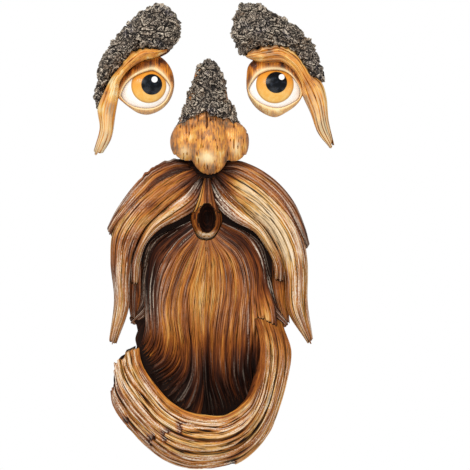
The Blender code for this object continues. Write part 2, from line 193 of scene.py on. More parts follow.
def profile(values: Sequence[float], stations: int) -> np.ndarray:
    """A smooth run of numbers through guide values.

    Args:
        values: Guide values, evenly spaced along the run.
        stations: How many numbers are wanted.

    Returns:
        The numbers, in one dimension.
    """
    return curve(values, stations)[:, 0]


def strands(across: np.ndarray, along: np.ndarray, pitch: float, seed: int,
            wander: float = 1.0) -> np.ndarray:
    """Rounded strands side by side with sharp valleys between them.

    Args:
        across: Millimetres across the strands.
        along: Millimetres along the strands.
        pitch: Mean width of a strand.
        seed: Picks one of many unlike sets of strands.
        wander: How far the strands drift and vary in width.

    Returns:
        0 in a valley and 1 on the crown of a strand.
    """
    drift = 1.1 * noise(along / 52, across / 19, seed) + 0.5 * noise(along / 21, across / 9, seed + 1)
    widths = 0.9 * wander * noise(across / (pitch * 1.9), along / 150, seed + 2)
    phase = across / pitch + wander * drift + widths
    rounded = np.abs(np.sin(math.pi * phase)) ** 0.80
    strength = 0.45 + 0.55 * smooth_step(noise(np.round(phase) * 1.7, along / 34, seed + 3), 0.15, 0.7)
    return 1 - (1 - rounded) * strength


# Carved surfaces


@dataclass
class Shell:
    """A closed surface on the drawing, with the paint channels of each point."""

    name: str
    points: np.ndarray
    faces: list
    paint: Paint
    ridge: Optional[np.ndarray] = None
    stain_and_shade: Optional[np.ndarray] = None
    wear_and_highlight: Optional[np.ndarray] = None
    flow: Optional[np.ndarray] = None

    def channel(self, values: Optional[np.ndarray], plain: float) -> np.ndarray:
        """One number for each point.

        Args:
            values: The channel, or None where the surface has none.
            plain: What stands in for a missing channel.

        Returns:
            An array as long as the points.
        """
        if values is None:
            return np.full(len(self.points), plain)
        return np.asarray(values, float).reshape(-1)


def ring_faces(rows: int, size: int) -> list:
    """Side faces of a tube whose rings follow each other in one list of points.

    Args:
        rows: Number of rings.
        size: Points in each ring.

    Returns:
        Four-sided faces.
    """
    row, k = np.meshgrid(np.arange(rows - 1), np.arange(size), indexing="ij")
    first = (row * size + k).reshape(-1)
    second = (row * size + (k + 1) % size).reshape(-1)
    return np.stack([first, second, second + size, first + size], axis=1).tolist()


def fan_caps(rows: int, size: int, first_middle: int) -> list:
    """End faces of a tube, fanned about one middle point at each end.

    Args:
        rows: Number of rings.
        size: Points in each ring.
        first_middle: Index of the first end's middle point; the last end's comes after it.

    Returns:
        Three-sided faces.
    """
    last = (rows - 1) * size
    start = [(((k + 1) % size), k, first_middle) for k in range(size)]
    end = [(last + k, last + (k + 1) % size, first_middle + 1) for k in range(size)]
    return start + end


def grid(shape: Sequence[int], *values: object) -> np.ndarray:
    """Numbers side by side for each point of a grid.

    Args:
        shape: Rows and columns of the grid.
        *values: Arrays that fit the grid, or single numbers.

    Returns:
        One row of numbers for each point.
    """
    return np.stack([np.broadcast_to(value, shape) for value in values], axis=-1)


@dataclass(frozen=True)
class Lock:
    """A carved lock between two edge lines, raised from behind the back to its crest."""

    name: str
    one_edge: Guide
    other_edge: Guide
    crest: Sequence[float]
    stain_and_shade: Sequence[float] = (0.45, 0.4)
    wear_and_highlight: Sequence[float] = (0.2, 0.4)
    edge_wear: float = 0.0
    edge_stain: float = 0.0
    side: float = 0.55
    groove: float = 1.5
    fine: float = 0.70
    pitch: float = 5.8
    tip: float = 0.0
    ragged: float = 0.0
    wavy: float = 0.0
    rounded: float = 0.08
    paint: Paint = Paint.HAIR
    spots: Sequence[tuple] = ()
    seed: int = 1
    step_across: float = 0.66
    step_along: float = 2.1

    def build(self) -> Shell:
        """Lay out the lock's surface, walls and ends.

        Returns:
            The closed surface of the lock.
        """
        coarse_one, coarse_other = curve(self.one_edge, 40), curve(self.other_edge, 40)
        length = max(np.linalg.norm(np.diff(e, axis=0), axis=1).sum() for e in (coarse_one, coarse_other))
        width = np.linalg.norm(coarse_one - coarse_other, axis=1)
        rows = max(8, int(length / self.step_along))
        cols = max(9, int(width.max() / self.step_across))
        one, other = curve(self.one_edge, rows), curve(self.other_edge, rows)
        share = np.linspace(0, 1, cols)[None, :]
        way = np.linspace(0, 1, rows)[:, None]
        plan = one[:, None] + (other - one)[:, None] * share[..., None]
        mean_width = max(width.mean(), 0.6 * width.max())
        across = share * mean_width + SEED_STEP * self.seed
        along = way * length + 0 * share
        broad = strands(across + 0 * way, along, self.pitch, self.seed)
        narrow = strands(across + 0 * way, along, 2.15, self.seed + 9, 0.7)
        arch = self.side + (1 - self.side) * np.sqrt(np.clip(1 - (2 * share - 1) ** 2, 0, 1))
        out = profile(self.crest, rows)[:, None] * arch
        blunt = np.clip((way - 1 + self.rounded) / max(self.rounded, 1e-6), 0, 1)
        out = out * (0.72 + 0.28 * np.sqrt(1 - 0.98 * blunt**2))
        out = out - self.groove * (1 - broad) - self.fine * (1 - narrow)
        inwards = (other - one) / np.maximum(np.linalg.norm(other - one, axis=1, keepdims=True), 1e-9)
        ripple = noise(along / 5.5, 0 * along, self.seed + 31)
        ripple = ripple + 0.5 * noise(along / 2.6, 0 * along, self.seed + 32)
        wave = self.wavy * (ripple - 0.75) * smooth_step(share, 0.4, 0.0) * smooth_step(way, 0.55, 0.40)
        plan += inwards[:, None] * wave[..., None]
        self._end_strands(plan, way, share, across, length)
        ridge = np.clip(0.38 * broad + 0.62 * narrow, 0, 1)
        stain_and_shade = profile(self.stain_and_shade, rows)[:, None] + self.edge_stain * (share - 0.5)
        wear_and_highlight = profile(self.wear_and_highlight, rows)[:, None] + self.edge_wear * (share - 0.5)
        for at_across, at_down, reach, amount in self.spots:
            stain_and_shade = stain_and_shade + amount * spot(plan[..., 0], plan[..., 1], (at_across, at_down), (reach, reach))
        stain_and_shade = stain_and_shade + 0.40 * (noise(across / 8.0, along / 40.0, self.seed + 21) - 0.5)
        wear_and_highlight = np.clip(wear_and_highlight, 0, 1)
        return relief(self.name, plan, out, self.paint, ridge, stain_and_shade, wear_and_highlight, across, along, self.seed)

    def _end_strands(self, plan: np.ndarray, way: np.ndarray, share: np.ndarray, across: np.ndarray,
                     length: float) -> None:
        """Round the tip and let its strands end at unlike places.

        Args:
            plan: Surface points on the drawing, changed in place.
            way: Share of the way along for each row.
            share: Share of the way across for each column.
            across: Millimetres across for each column.
            length: Length of the lock in millimetres.
        """
        strand = np.floor(across / 3.4)
        uneven = 2 * lattice(strand, 0 * strand, self.seed + 5) - 1
        reach = self.tip * (1 - (2 * share - 1) ** 2) + self.ragged * uneven
        along = np.gradient(plan, axis=0)
        along /= np.maximum(np.linalg.norm(along, axis=-1, keepdims=True), 1e-9)
        share_of_reach = smooth_step(way, 1 - 14.0 / length, 1.0)
        plan += along * (reach * share_of_reach)[..., None]


def relief(name: str, plan: np.ndarray, out: np.ndarray, paint: Paint, ridge: np.ndarray, stain_and_shade: np.ndarray,
           wear_and_highlight: np.ndarray, across: np.ndarray, along: np.ndarray, seed: int) -> Shell:
    """A closed solid under a grid of surface points, down to behind the back.

    Args:
        name: Name of the surface.
        plan: Rows and columns of (across, down) points.
        out: Height of each point.
        paint: What the surface is painted as.
        ridge: 0 in a valley and 1 on a crown, for each point.
        stain_and_shade: Darkness at each point, from staining and from painted shade.
        wear_and_highlight: Amount of pale dry brushing at each point.
        across: Millimetres across the strands.
        along: Millimetres along the strands.
        seed: Sets this surface apart from its neighbours.

    Returns:
        The closed surface.
    """
    rows, cols = out.shape
    lower = -4.0 - 0.113 * (seed % 23)
    top = grid((rows, cols), plan[..., 0], plan[..., 1], out, ridge, stain_and_shade, wear_and_highlight, across, along)
    walls = []
    for column, height in ((-1, 0.5), (-1, 0.0), (0, 0.0), (0, 0.5)):
        wall = top[:, column].copy()
        wall[:, 2] = np.where(height > 0, wall[:, 2] * height, lower)
        wall[:, 3] = wall[:, 3] * 0.45
        wall[:, 4] = wall[:, 4] + 0.15
        wall[:, 5] = 0.0
        walls.append(wall[:, None])
    ring = np.concatenate([top] + walls, axis=1)
    size = ring.shape[1]
    middles = ring[[0, -1]].mean(axis=1)
    middles[:, 2] = lower * 0.5
    flat = np.concatenate([ring.reshape(-1, ring.shape[-1]), middles])
    faces = ring_faces(rows, size) + fan_caps(rows, size, rows * size)
    flow = np.stack([flat[:, 6], flat[:, 7], np.full(len(flat), 13.7 * seed)], axis=1)
    return Shell(name, flat[:, :3], faces, paint, flat[:, 3], flat[:, 4], flat[:, 5], flow)


def prism(name: str, flat: Guide, near: float, far: float, paint: Paint) -> Shell:
    """A straight-sided solid for cutting.

    Args:
        name: Name of the surface.
        flat: Its outline on the drawing.
        near: Height of its lower end.
        far: Height of its upper end.
        paint: What the cut is painted as.

    Returns:
        The closed surface.
    """
    count = len(flat)
    outline = np.array(flat, float)
    points = np.concatenate([np.insert(outline, 2, out, axis=1) for out in (far, near)])
    faces = ring_faces(2, count) + [tuple(range(count))[::-1], tuple(range(count, 2 * count))]
    return Shell(name, points, faces, paint)


@dataclass(frozen=True)
class Ball:
    """An egg-shaped swelling."""

    name: str
    centre: Sequence[float]
    radii: Sequence[float]
    paint: Paint = Paint.WOOD
    stain_and_shade: float = 0.3
    wear_and_highlight: float = 0.1
    sides: int = 64

    def build(self) -> Shell:
        """Lay out the ball's surface.

        Returns:
            The closed surface of the ball.
        """
        rings = self.sides // 2
        tilt = np.linspace(0, math.pi, rings + 2)[1:-1]
        turn = np.linspace(0, 2 * math.pi, self.sides, endpoint=False)
        tilt, turn = np.meshgrid(tilt, turn, indexing="ij")
        unit = np.stack([np.sin(tilt) * np.cos(turn), np.cos(tilt), np.sin(tilt) * np.sin(turn)], axis=-1)
        unit = np.concatenate([unit.reshape(-1, 3), [[0, 1, 0], [0, -1, 0]]])
        faces = ring_faces(rings, self.sides) + fan_caps(rings, self.sides, rings * self.sides)
        points = np.array(self.centre) + unit * np.array(self.radii)
        count = len(points)
        return Shell(self.name, points, faces, self.paint, np.full(count, 0.8), np.full(count, self.stain_and_shade),
                     np.full(count, self.wear_and_highlight), points.copy())


@dataclass(frozen=True)
class Eyeball(Ball):
    """A domed eye on straight sides, which stay hidden inside the lids."""

    sides: int = 112
    dome: float = 0.875

    def build(self) -> Shell:
        """Lay out the dome and its sides.

        Returns:
            The closed surface of the eyeball.
        """
        shell = super().build()
        offset = (shell.points[:, :2] - np.array(self.centre[:2])) / np.array(self.radii[:2])
        reach = np.linalg.norm(offset, axis=1)
        held = offset * (np.minimum(reach, self.dome) / np.maximum(reach, 1e-9))[:, None]
        shell.points[:, :2] = np.array(self.centre[:2]) + held * np.array(self.radii[:2])
        return shell


@dataclass(frozen=True)
class Lips(Ball):
    """The mouth's rounded rim: dark at the sides, orange above and pale below."""

    def build(self) -> Shell:
        """Lay out the lips and paint them by place.

        Returns:
            The closed surface of the lips.
        """
        shell = super().build()
        across, down = shell.points[:, 0], shell.points[:, 1]
        turn = np.arctan2(down - self.centre[1], across - self.centre[0])
        away = 1.35 * np.hypot(1.35 * (across - self.centre[0]), down - self.centre[1])
        lined = strands(away, 20 * turn, 3.4, 5)
        lower = smooth_step(down, 229, 236)
        stain_and_shade = 0.54 - 0.16 * smooth_step(down, 212, 202) - 0.46 * lower
        return Shell(shell.name, shell.points, shell.faces, shell.paint, lined, stain_and_shade, lower,
                     np.stack([away, 20 * turn, 0 * away + 5], axis=1))


@dataclass(frozen=True)
class Plate:
    """A flat backing plate with a smooth outline."""

    name: str
    outline: Guide
    out: float
    paint: Paint = Paint.HAIR
    # Near black: painted shade where the plate shows between the locks.
    stain_and_shade: float = 0.93

    def build(self) -> Shell:
        """Lay out the plate.

        Returns:
            The closed surface of the plate.
        """
        flat = curve(list(self.outline) + [self.outline[0]], 6 * len(self.outline) + 1)[:-1]
        count = len(flat)
        front = np.concatenate([flat, np.full((count, 1), self.out)], axis=1)
        back = np.concatenate([flat, np.full((count, 1), -6.6)], axis=1)
        faces = ring_faces(2, count) + [tuple(range(count))[::-1], tuple(range(count, 2 * count))]
        points = np.concatenate([front, back])
        ridge, stain_and_shade = np.full(2 * count, 0.5), np.full(2 * count, self.stain_and_shade)
        return Shell(self.name, points, faces, self.paint, ridge, stain_and_shade, np.zeros(2 * count), points)


@dataclass(frozen=True)
class EyeRing:
    """Both lids in one ring about the eye's opening."""

    name: str
    opening: Guide
    outline: Guide
    ball: Ball
    around: int = 132
    lip: float = 2.6
    sunk: float = -5.3
    inset: float = -0.10

    def build(self) -> Shell:
        """Lay out the lids over the eyeball.

        Returns:
            The closed surface of the ring.
        """
        around = self.around
        inner = curve(list(self.opening) + [self.opening[0]], around + 1)[:-1]
        outer = curve(list(self.outline) + [self.outline[0]], around + 1)[:-1]
        middle = inner.mean(axis=0)
        upper = smooth_step(middle[1] - inner[:, 1], -6, 10)
        shares = np.array([self.inset, 0.0, 0.06, 0.16, 0.28, 0.42, 0.56, 0.70, 0.84, 0.94, 1.0])
        seat = self._ball_height(inner)
        rows = []
        for share in shares:
            plan = inner + (outer - inner) * share
            lip = seat + self.lip * smooth_step(np.full(around, share), -0.12, 0.05)
            bulge = 1.8 * math.sin(math.pi * min(1.0, max(0.0, share)))
            fall = (seat + self.lip - 13.0) * max(0.0, share) ** 1.7
            crease = -2.2 * upper * hump(share, 0.36, 0.09)
            height = lip + bulge - fall + crease if share >= 0 else seat - 3.0
            rows.append(np.concatenate([plan, height[:, None]], axis=1))
        for plan in (outer, inner + (outer - inner) * self.inset):
            rows.append(np.insert(plan, 2, self.sunk, axis=1))
        rings = np.array(rows)
        count = len(rings)
        row, k = np.meshgrid(np.arange(count), np.arange(around), indexing="ij")
        ahead = (row + 1) % count
        turned = (k + 1) % around
        corners = [row * around + k, row * around + turned, ahead * around + turned, ahead * around + k]
        quads = np.stack(corners, axis=-1)
        share_of = np.concatenate([shares, [1.0, self.inset]])[:, None] + np.zeros((1, around))
        rim = hump(share_of, 0.13, 0.14) + 0.40 * (1 - upper) * smooth_step(share_of, 0.1, 0.4)
        # Painted shade under the brow, darkest high on the upper lid.
        shadow = hump(share_of, 0.72, 0.30) * upper
        edge = hump(share_of, -0.04, 0.05) + 0.35 * (1 - upper) * smooth_step(share_of, 0.75, 1.0)
        stain_and_shade = 0.24 + 0.16 * upper + 0.24 * shadow + 0.36 * edge
        wear_and_highlight = 0.90 * rim * (1 - 0.5 * edge)
        points = rings.reshape(-1, 3)
        return Shell(self.name, points, quads.reshape(-1, 4).tolist(), Paint.WOOD, np.full(len(points), 0.85),
                     stain_and_shade.reshape(-1), wear_and_highlight.reshape(-1), points)

    def _ball_height(self, plan: np.ndarray) -> np.ndarray:
        """Height of the eyeball under points of the opening.

        Args:
            plan: (across, down) points.

        Returns:
            The eyeball's height at each point.
        """
        offset = (plan - np.array(self.ball.centre[:2])) / np.array(self.ball.radii[:2])
        dome = np.sqrt(np.clip(1 - (offset**2).sum(axis=1), 0.04, 1))
        return self.ball.centre[2] + self.ball.radii[2] * dome


# From the drawing to objects


def place(points: np.ndarray, lift: float = 0.0) -> np.ndarray:
    """Drawing points in the object's frame.

    Args:
        points: (across, down, out) rows in millimetres.
        lift: Millimetres that the whole casting hangs above its drawn place.

    Returns:
        (x, y, z) rows in metres.
    """
    x = points[:, 0] - DRAWING_CENTRE[0]
    z = DRAWING_CENTRE[1] - points[:, 1] + lift
    return np.stack([x, -points[:, 2], z], axis=1) * MM


def paint_channels(mesh: bpy.types.Mesh, shell: Shell) -> None:
    """Store a shell's paint channels on its mesh.

    Args:
        mesh: The mesh that was made from the shell.
        shell: Where the channels come from.
    """
    channels = (("ridge", shell.ridge, 0.6), ("stain_and_shade", shell.stain_and_shade, 0.4), ("wear_and_highlight", shell.wear_and_highlight, 0.2))
    for name, values, plain in channels:
        layer = mesh.attributes.new(name, "FLOAT", "POINT")
        layer.data.foreach_set("value", shell.channel(values, plain).astype(np.float32))
    flow = shell.points if shell.flow is None else shell.flow
    layer = mesh.attributes.new("flow", "FLOAT_VECTOR", "POINT")
    layer.data.foreach_set("vector", np.asarray(flow, np.float32).reshape(-1))


def mesh_points(mesh: bpy.types.Mesh) -> np.ndarray:
    """Vertex positions of a mesh.

    Args:
        mesh: The mesh that is read.

    Returns:
        One row for each vertex.
    """
    flat = np.empty(len(mesh.vertices) * 3, np.float32)
    mesh.vertices.foreach_get("co", flat)
    return flat.reshape(-1, 3).astype(float)


def signed_volume(points: np.ndarray, faces: list) -> float:
    """Volume inside a closed surface, negative where its faces point inwards.

    Args:
        points: Vertex positions.
        faces: Faces as lists of indices.

    Returns:
        The volume in the cube of the points' unit.
    """
    total = 0.0
    for count in {len(face) for face in faces}:
        corners = points[np.array([face for face in faces if len(face) == count])]
        for k in range(1, count - 1):
            total += np.einsum("ij,ij->i", corners[:, 0], np.cross(corners[:, k], corners[:, k + 1])).sum()
    return total / 6


@dataclass
class Workshop:
    """Makes objects, joins and cuts them, and hands each painted surface its material."""

    materials: dict

    def solid(self, shell: Shell, lift: float = 0.0) -> bpy.types.Object:
        """Make a mesh object of a shell.

        Args:
            shell: The closed surface.
            lift: Millimetres that its casting hangs above its drawn place.

        Returns:
            The new object, linked to the scene.
        """
        points = place(shell.points, lift)
        faces = shell.faces
        if signed_volume(points, faces) < 0:
            faces = [tuple(face)[::-1] for face in faces]
        mesh = bpy.data.meshes.new(shell.name)
        mesh.from_pydata(points.tolist(), [], faces)
        paint_channels(mesh, shell)
        mesh.materials.append(self.materials[shell.paint])
        made = bpy.data.objects.new(shell.name, mesh)
        bpy.context.scene.collection.objects.link(made)
        return made

    def combine(self, target: bpy.types.Object, others: Sequence[bpy.types.Object], operation: str) -> None:
        """Join other solids to one, or cut them from it, and remove them.

        Args:
            target: The solid that is changed.
            others: The solids that are joined or cut.
            operation: UNION or DIFFERENCE.
        """
        group = bpy.data.collections.new("joined")
        bpy.context.scene.collection.children.link(group)
        for other in others:
            group.objects.link(other)
        step = target.modifiers.new(operation.lower(), "BOOLEAN")
        step.operation = operation
        step.solver = "MANIFOLD"
        step.material_mode = "TRANSFER"
        step.operand_type = "COLLECTION"
        step.collection = group
        self.apply(target)
        for other in list(others):
            bpy.data.objects.remove(other)
        bpy.data.collections.remove(group)

    def apply(self, obj: bpy.types.Object) -> None:
        """Apply all modifiers of an object.

        Args:
            obj: The object that is changed.
        """
        bpy.ops.object.select_all(action="DESELECT")
        obj.select_set(True)
        bpy.context.view_layer.objects.active = obj
        for modifier in list(obj.modifiers):
            bpy.ops.object.modifier_apply(modifier=modifier.name)

    def fuse(self, name: str, parts: Sequence[bpy.types.Object], voxel: float,
             passes: int) -> bpy.types.Object:
        """Melt overlapping solids into one even skin.

        Args:
            name: Name of the new object.
            parts: The solids, which are used up.
            voxel: Size of the skin's cells in millimetres.
            passes: How often the skin is smoothed.

        Returns:
            The fused object, with one material and no paint channels.
        """
        target = parts[0]
        if len(parts) > 1:
            self.combine(target, parts[1:], "UNION")
        skin = target.modifiers.new("skin", "REMESH")
        skin.mode = "VOXEL"
        skin.voxel_size = voxel * MM
        if passes:
            soften = target.modifiers.new("soften", "SMOOTH")
            soften.factor = 0.5
            soften.iterations = passes
        self.apply(target)
        target.name = name
        return target


def neighbour_mean(mesh: bpy.types.Mesh, values: np.ndarray, rounds: int) -> np.ndarray:
    """Values averaged over a mesh's edges.

    Args:
        mesh: The mesh that the values lie on.
        values: One number for each vertex.
        rounds: How many edges far the average reaches.

    Returns:
        The averaged values.
    """
    ends = np.empty(len(mesh.edges) * 2, np.int32)
    mesh.edges.foreach_get("vertices", ends)
    ends = ends.reshape(-1, 2)
    count = np.bincount(ends.reshape(-1), minlength=len(values)) + 1
    for _ in range(rounds):
        total = values + np.bincount(ends[:, 0], values[ends[:, 1]], len(values))
        total += np.bincount(ends[:, 1], values[ends[:, 0]], len(values))
        values = total / count
    return values


def flakes(points: np.ndarray, size: float, stretch: Sequence[float], seed: int) -> tuple:
    """A skin of tilted chips, like rough bark.

    Args:
        points: Positions in millimetres.
        size: Mean width of a chip.
        stretch: How much longer than wide a chip is along x, y and z.
        seed: Picks one of many unlike skins.

    Returns:
        Heights, 0 in a crack and about 1 on a chip's raised edge, a tone from 0 to 1 for each chip, and the
        light rim along the raised edges.
    """
    scaled = points / (size * np.array(stretch))
    cells = np.unique(np.floor(scaled).astype(np.int64), axis=0)
    around = np.array([(i, j, k) for i in (-1, 0, 1) for j in (-1, 0, 1) for k in (-1, 0, 1)])
    cells = np.unique((cells[:, None] + around[None]).reshape(-1, 3), axis=0)
    key = cells[:, 0] * 7919 + cells[:, 1] * 104729
    jitter = np.stack([lattice(key, cells[:, 2], seed + k) for k in range(3)], axis=1)
    centres = cells + 0.1 + 0.8 * jitter
    tilt = np.stack([lattice(key, cells[:, 2], seed + 5 + k) for k in range(3)], axis=1) * 2 - 1
    lift = lattice(key, cells[:, 2], seed + 9)
    tree = kdtree.KDTree(len(centres))
    for index, centre in enumerate(centres):
        tree.insert(centre, index)
    tree.balance()
    nearest = np.empty((len(scaled), 3))
    for index, point in enumerate(scaled):
        (_, one, near), (_, _, far) = tree.find_n(point, 2)
        nearest[index] = (one, near, far)
    own = nearest[:, 0].astype(int)
    slope = ((scaled - centres[own]) * tilt[own]).sum(axis=1)
    border = nearest[:, 2] - nearest[:, 1]
    rim = hump(border, 0.17, 0.10) * smooth_step(slope, -0.05, 0.22)
    height = smooth_step(border, 0.0, 0.15) * (0.45 + 1.05 * slope + 0.55 * (lift[own] - 0.5))
    return np.clip(height, 0, 1.25), lift[own], rim


def push_out(obj: bpy.types.Object, amount: np.ndarray) -> None:
    """Move a mesh's vertices along their normals.

    Args:
        obj: The object that is changed.
        amount: Millimetres outwards for each vertex.
    """
    mesh = obj.data
    normals = np.empty(len(mesh.vertices) * 3, np.float32)
    mesh.vertex_normals.foreach_get("vector", normals)
    moved = mesh_points(mesh) + normals.reshape(-1, 3) * (amount * MM)[:, None]
    mesh.vertices.foreach_set("co", moved.astype(np.float32).reshape(-1))
    mesh.update()


def set_channels(obj: bpy.types.Object, ridge: np.ndarray, stain_and_shade: np.ndarray, wear_and_highlight: np.ndarray) -> None:
    """Paint channels for a fused skin, with its position as the flow.

    Args:
        obj: The object that is painted.
        ridge: Height channel.
        stain_and_shade: Darkness channel.
        wear_and_highlight: Pale channel: dry brushing, and on bark the painted highlights along the raised
            edges.
    """
    mesh = obj.data
    points = mesh_points(mesh) / MM
    shell = Shell(obj.name, points, [], Paint.WOOD, ridge, stain_and_shade, wear_and_highlight, points)
    for name in ("ridge", "stain_and_shade", "wear_and_highlight", "flow"):
        if name in mesh.attributes:
            mesh.attributes.remove(mesh.attributes[name])
    paint_channels(mesh, shell)


def drawn(obj: bpy.types.Object) -> np.ndarray:
    """Where a mesh's vertices lie on the drawing.

    Args:
        obj: The object that is read.

    Returns:
        (across, down, out) rows in millimetres.
    """
    points = mesh_points(obj.data) / MM
    across, down = points[:, 0] + DRAWING_CENTRE[0], DRAWING_CENTRE[1] - points[:, 2]
    return np.stack([across, down, -points[:, 1]], axis=1)


def carve_bark(obj: bpy.types.Object, seed: int, relief_mm: float = 4.6) -> None:
    """Break a fused skin into bark.

    Args:
        obj: The skin that is carved.
        seed: Picks one of many unlike barks.
        relief_mm: Height of the largest chips.
    """
    points = mesh_points(obj.data) / MM
    across, up = points[:, 0] + 0.7 * points[:, 1], points[:, 2] - 0.6 * points[:, 1]
    swell = noise(across / 11, up / 11, seed + 40) - 0.5
    bend = 3.0 * (noise(across / 7, up / 7, seed + 43) - 0.5)
    drift = (2.5 * swell + bend)[:, None] * (1.0, 0.3, -1.0)
    large, tone, rim = flakes(points + drift, *LARGE_CHIP, seed)
    drift = bend[:, None] * (1.0, -0.4, 0.6)
    small, _, fine_rim = flakes(points + drift, *SMALL_CHIP, seed + 60)
    height = 0.66 * large + 0.34 * small
    push_out(obj, relief_mm * (height - 0.52) + 3.2 * swell)
    raised = height - neighbour_mean(obj.data, height, 5)
    # Each chip's own tone sets its darkness; the light rims along the raised edges go into the brushing
    # channel as painted highlights.
    set_channels(obj, np.clip(0.5 + 2.2 * raised, 0, 1), tone, np.maximum(rim, 0.75 * fine_rim))


def carve_wood(obj: bpy.types.Object, seed: int) -> None:
    """Give a fused skin shallow upright grain.

    Args:
        obj: The skin that is carved.
        seed: Picks one of many unlike grains.
    """
    around, down, _ = drawn(obj).T
    grain = 0.55 + 0.45 * strands(around, down, 3.4, seed, 0.9)
    nicks = smooth_step(noise(around / 1.2, down / 7.0, seed + 3), 0.80, 0.92)
    push_out(obj, -0.5 * (1 - grain) - 0.9 * nicks + 0.8 * (noise(around / 12, down / 12, seed + 4) - 0.5))
    ridge = np.clip(grain - 0.9 * nicks, 0, 1)
    set_channels(obj, ridge, np.full_like(grain, 0.3), np.full_like(grain, 0.1))


# Painted finishes


@dataclass(frozen=True)
class HairFinish:
    """Stained hair with dark valleys and pale brushed crowns."""

    stains: Sequence[tuple] = (
        (0.00, (0.76, 0.56, 0.33)),
        (0.18, (0.70, 0.38, 0.095)),
        (0.34, (0.52, 0.180, 0.026)),
        (0.50, (0.290, 0.082, 0.017)),
        (0.66, (0.135, 0.035, 0.011)),
        (0.82, (0.050, 0.015, 0.008)),
        (1.00, (0.011, 0.005, 0.004)),
    )
    valley: tuple = (0.014, 0.006, 0.004)
    brushed: tuple = (0.82, 0.70, 0.56)
    roughness: float = 0.50


@dataclass(frozen=True)
class WoodFinish:
    """Golden to red-brown wood on the nose, the brows and the lids."""

    stains: Sequence[tuple] = (
        (0.00, (0.86, 0.66, 0.36)),
        (0.20, (0.80, 0.39, 0.050)),
        (0.38, (0.66, 0.225, 0.024)),
        (0.56, (0.36, 0.108, 0.018)),
        (0.74, (0.12, 0.038, 0.017)),
        (1.00, (0.025, 0.011, 0.008)),
    )
    valley: tuple = (0.060, 0.020, 0.009)
    brushed: tuple = (0.93, 0.78, 0.47)
    roughness: float = 0.40


@dataclass(frozen=True)
class BarkFinish:
    """Near-black bark with cream painted highlights on the raised edges."""

    deep: tuple = (0.010, 0.008, 0.007)
    body: tuple = (0.045, 0.028, 0.021)
    grey: tuple = (0.150, 0.110, 0.085)
    # Cream of the painted highlights along the raised edges.
    edge: tuple = (0.78, 0.67, 0.53)
    ochre: tuple = (0.23, 0.115, 0.035)
    violet: tuple = (0.075, 0.078, 0.125)
    roughness: float = 0.62


@dataclass(frozen=True)
class EyeFinish:
    """A glossy painted eye: its rings lie about two centres on the drawing."""

    iris_at: tuple
    iris_radius: float
    pupil_at: tuple
    pupil_radius: float
    glint_at: tuple
    glint_radius: float


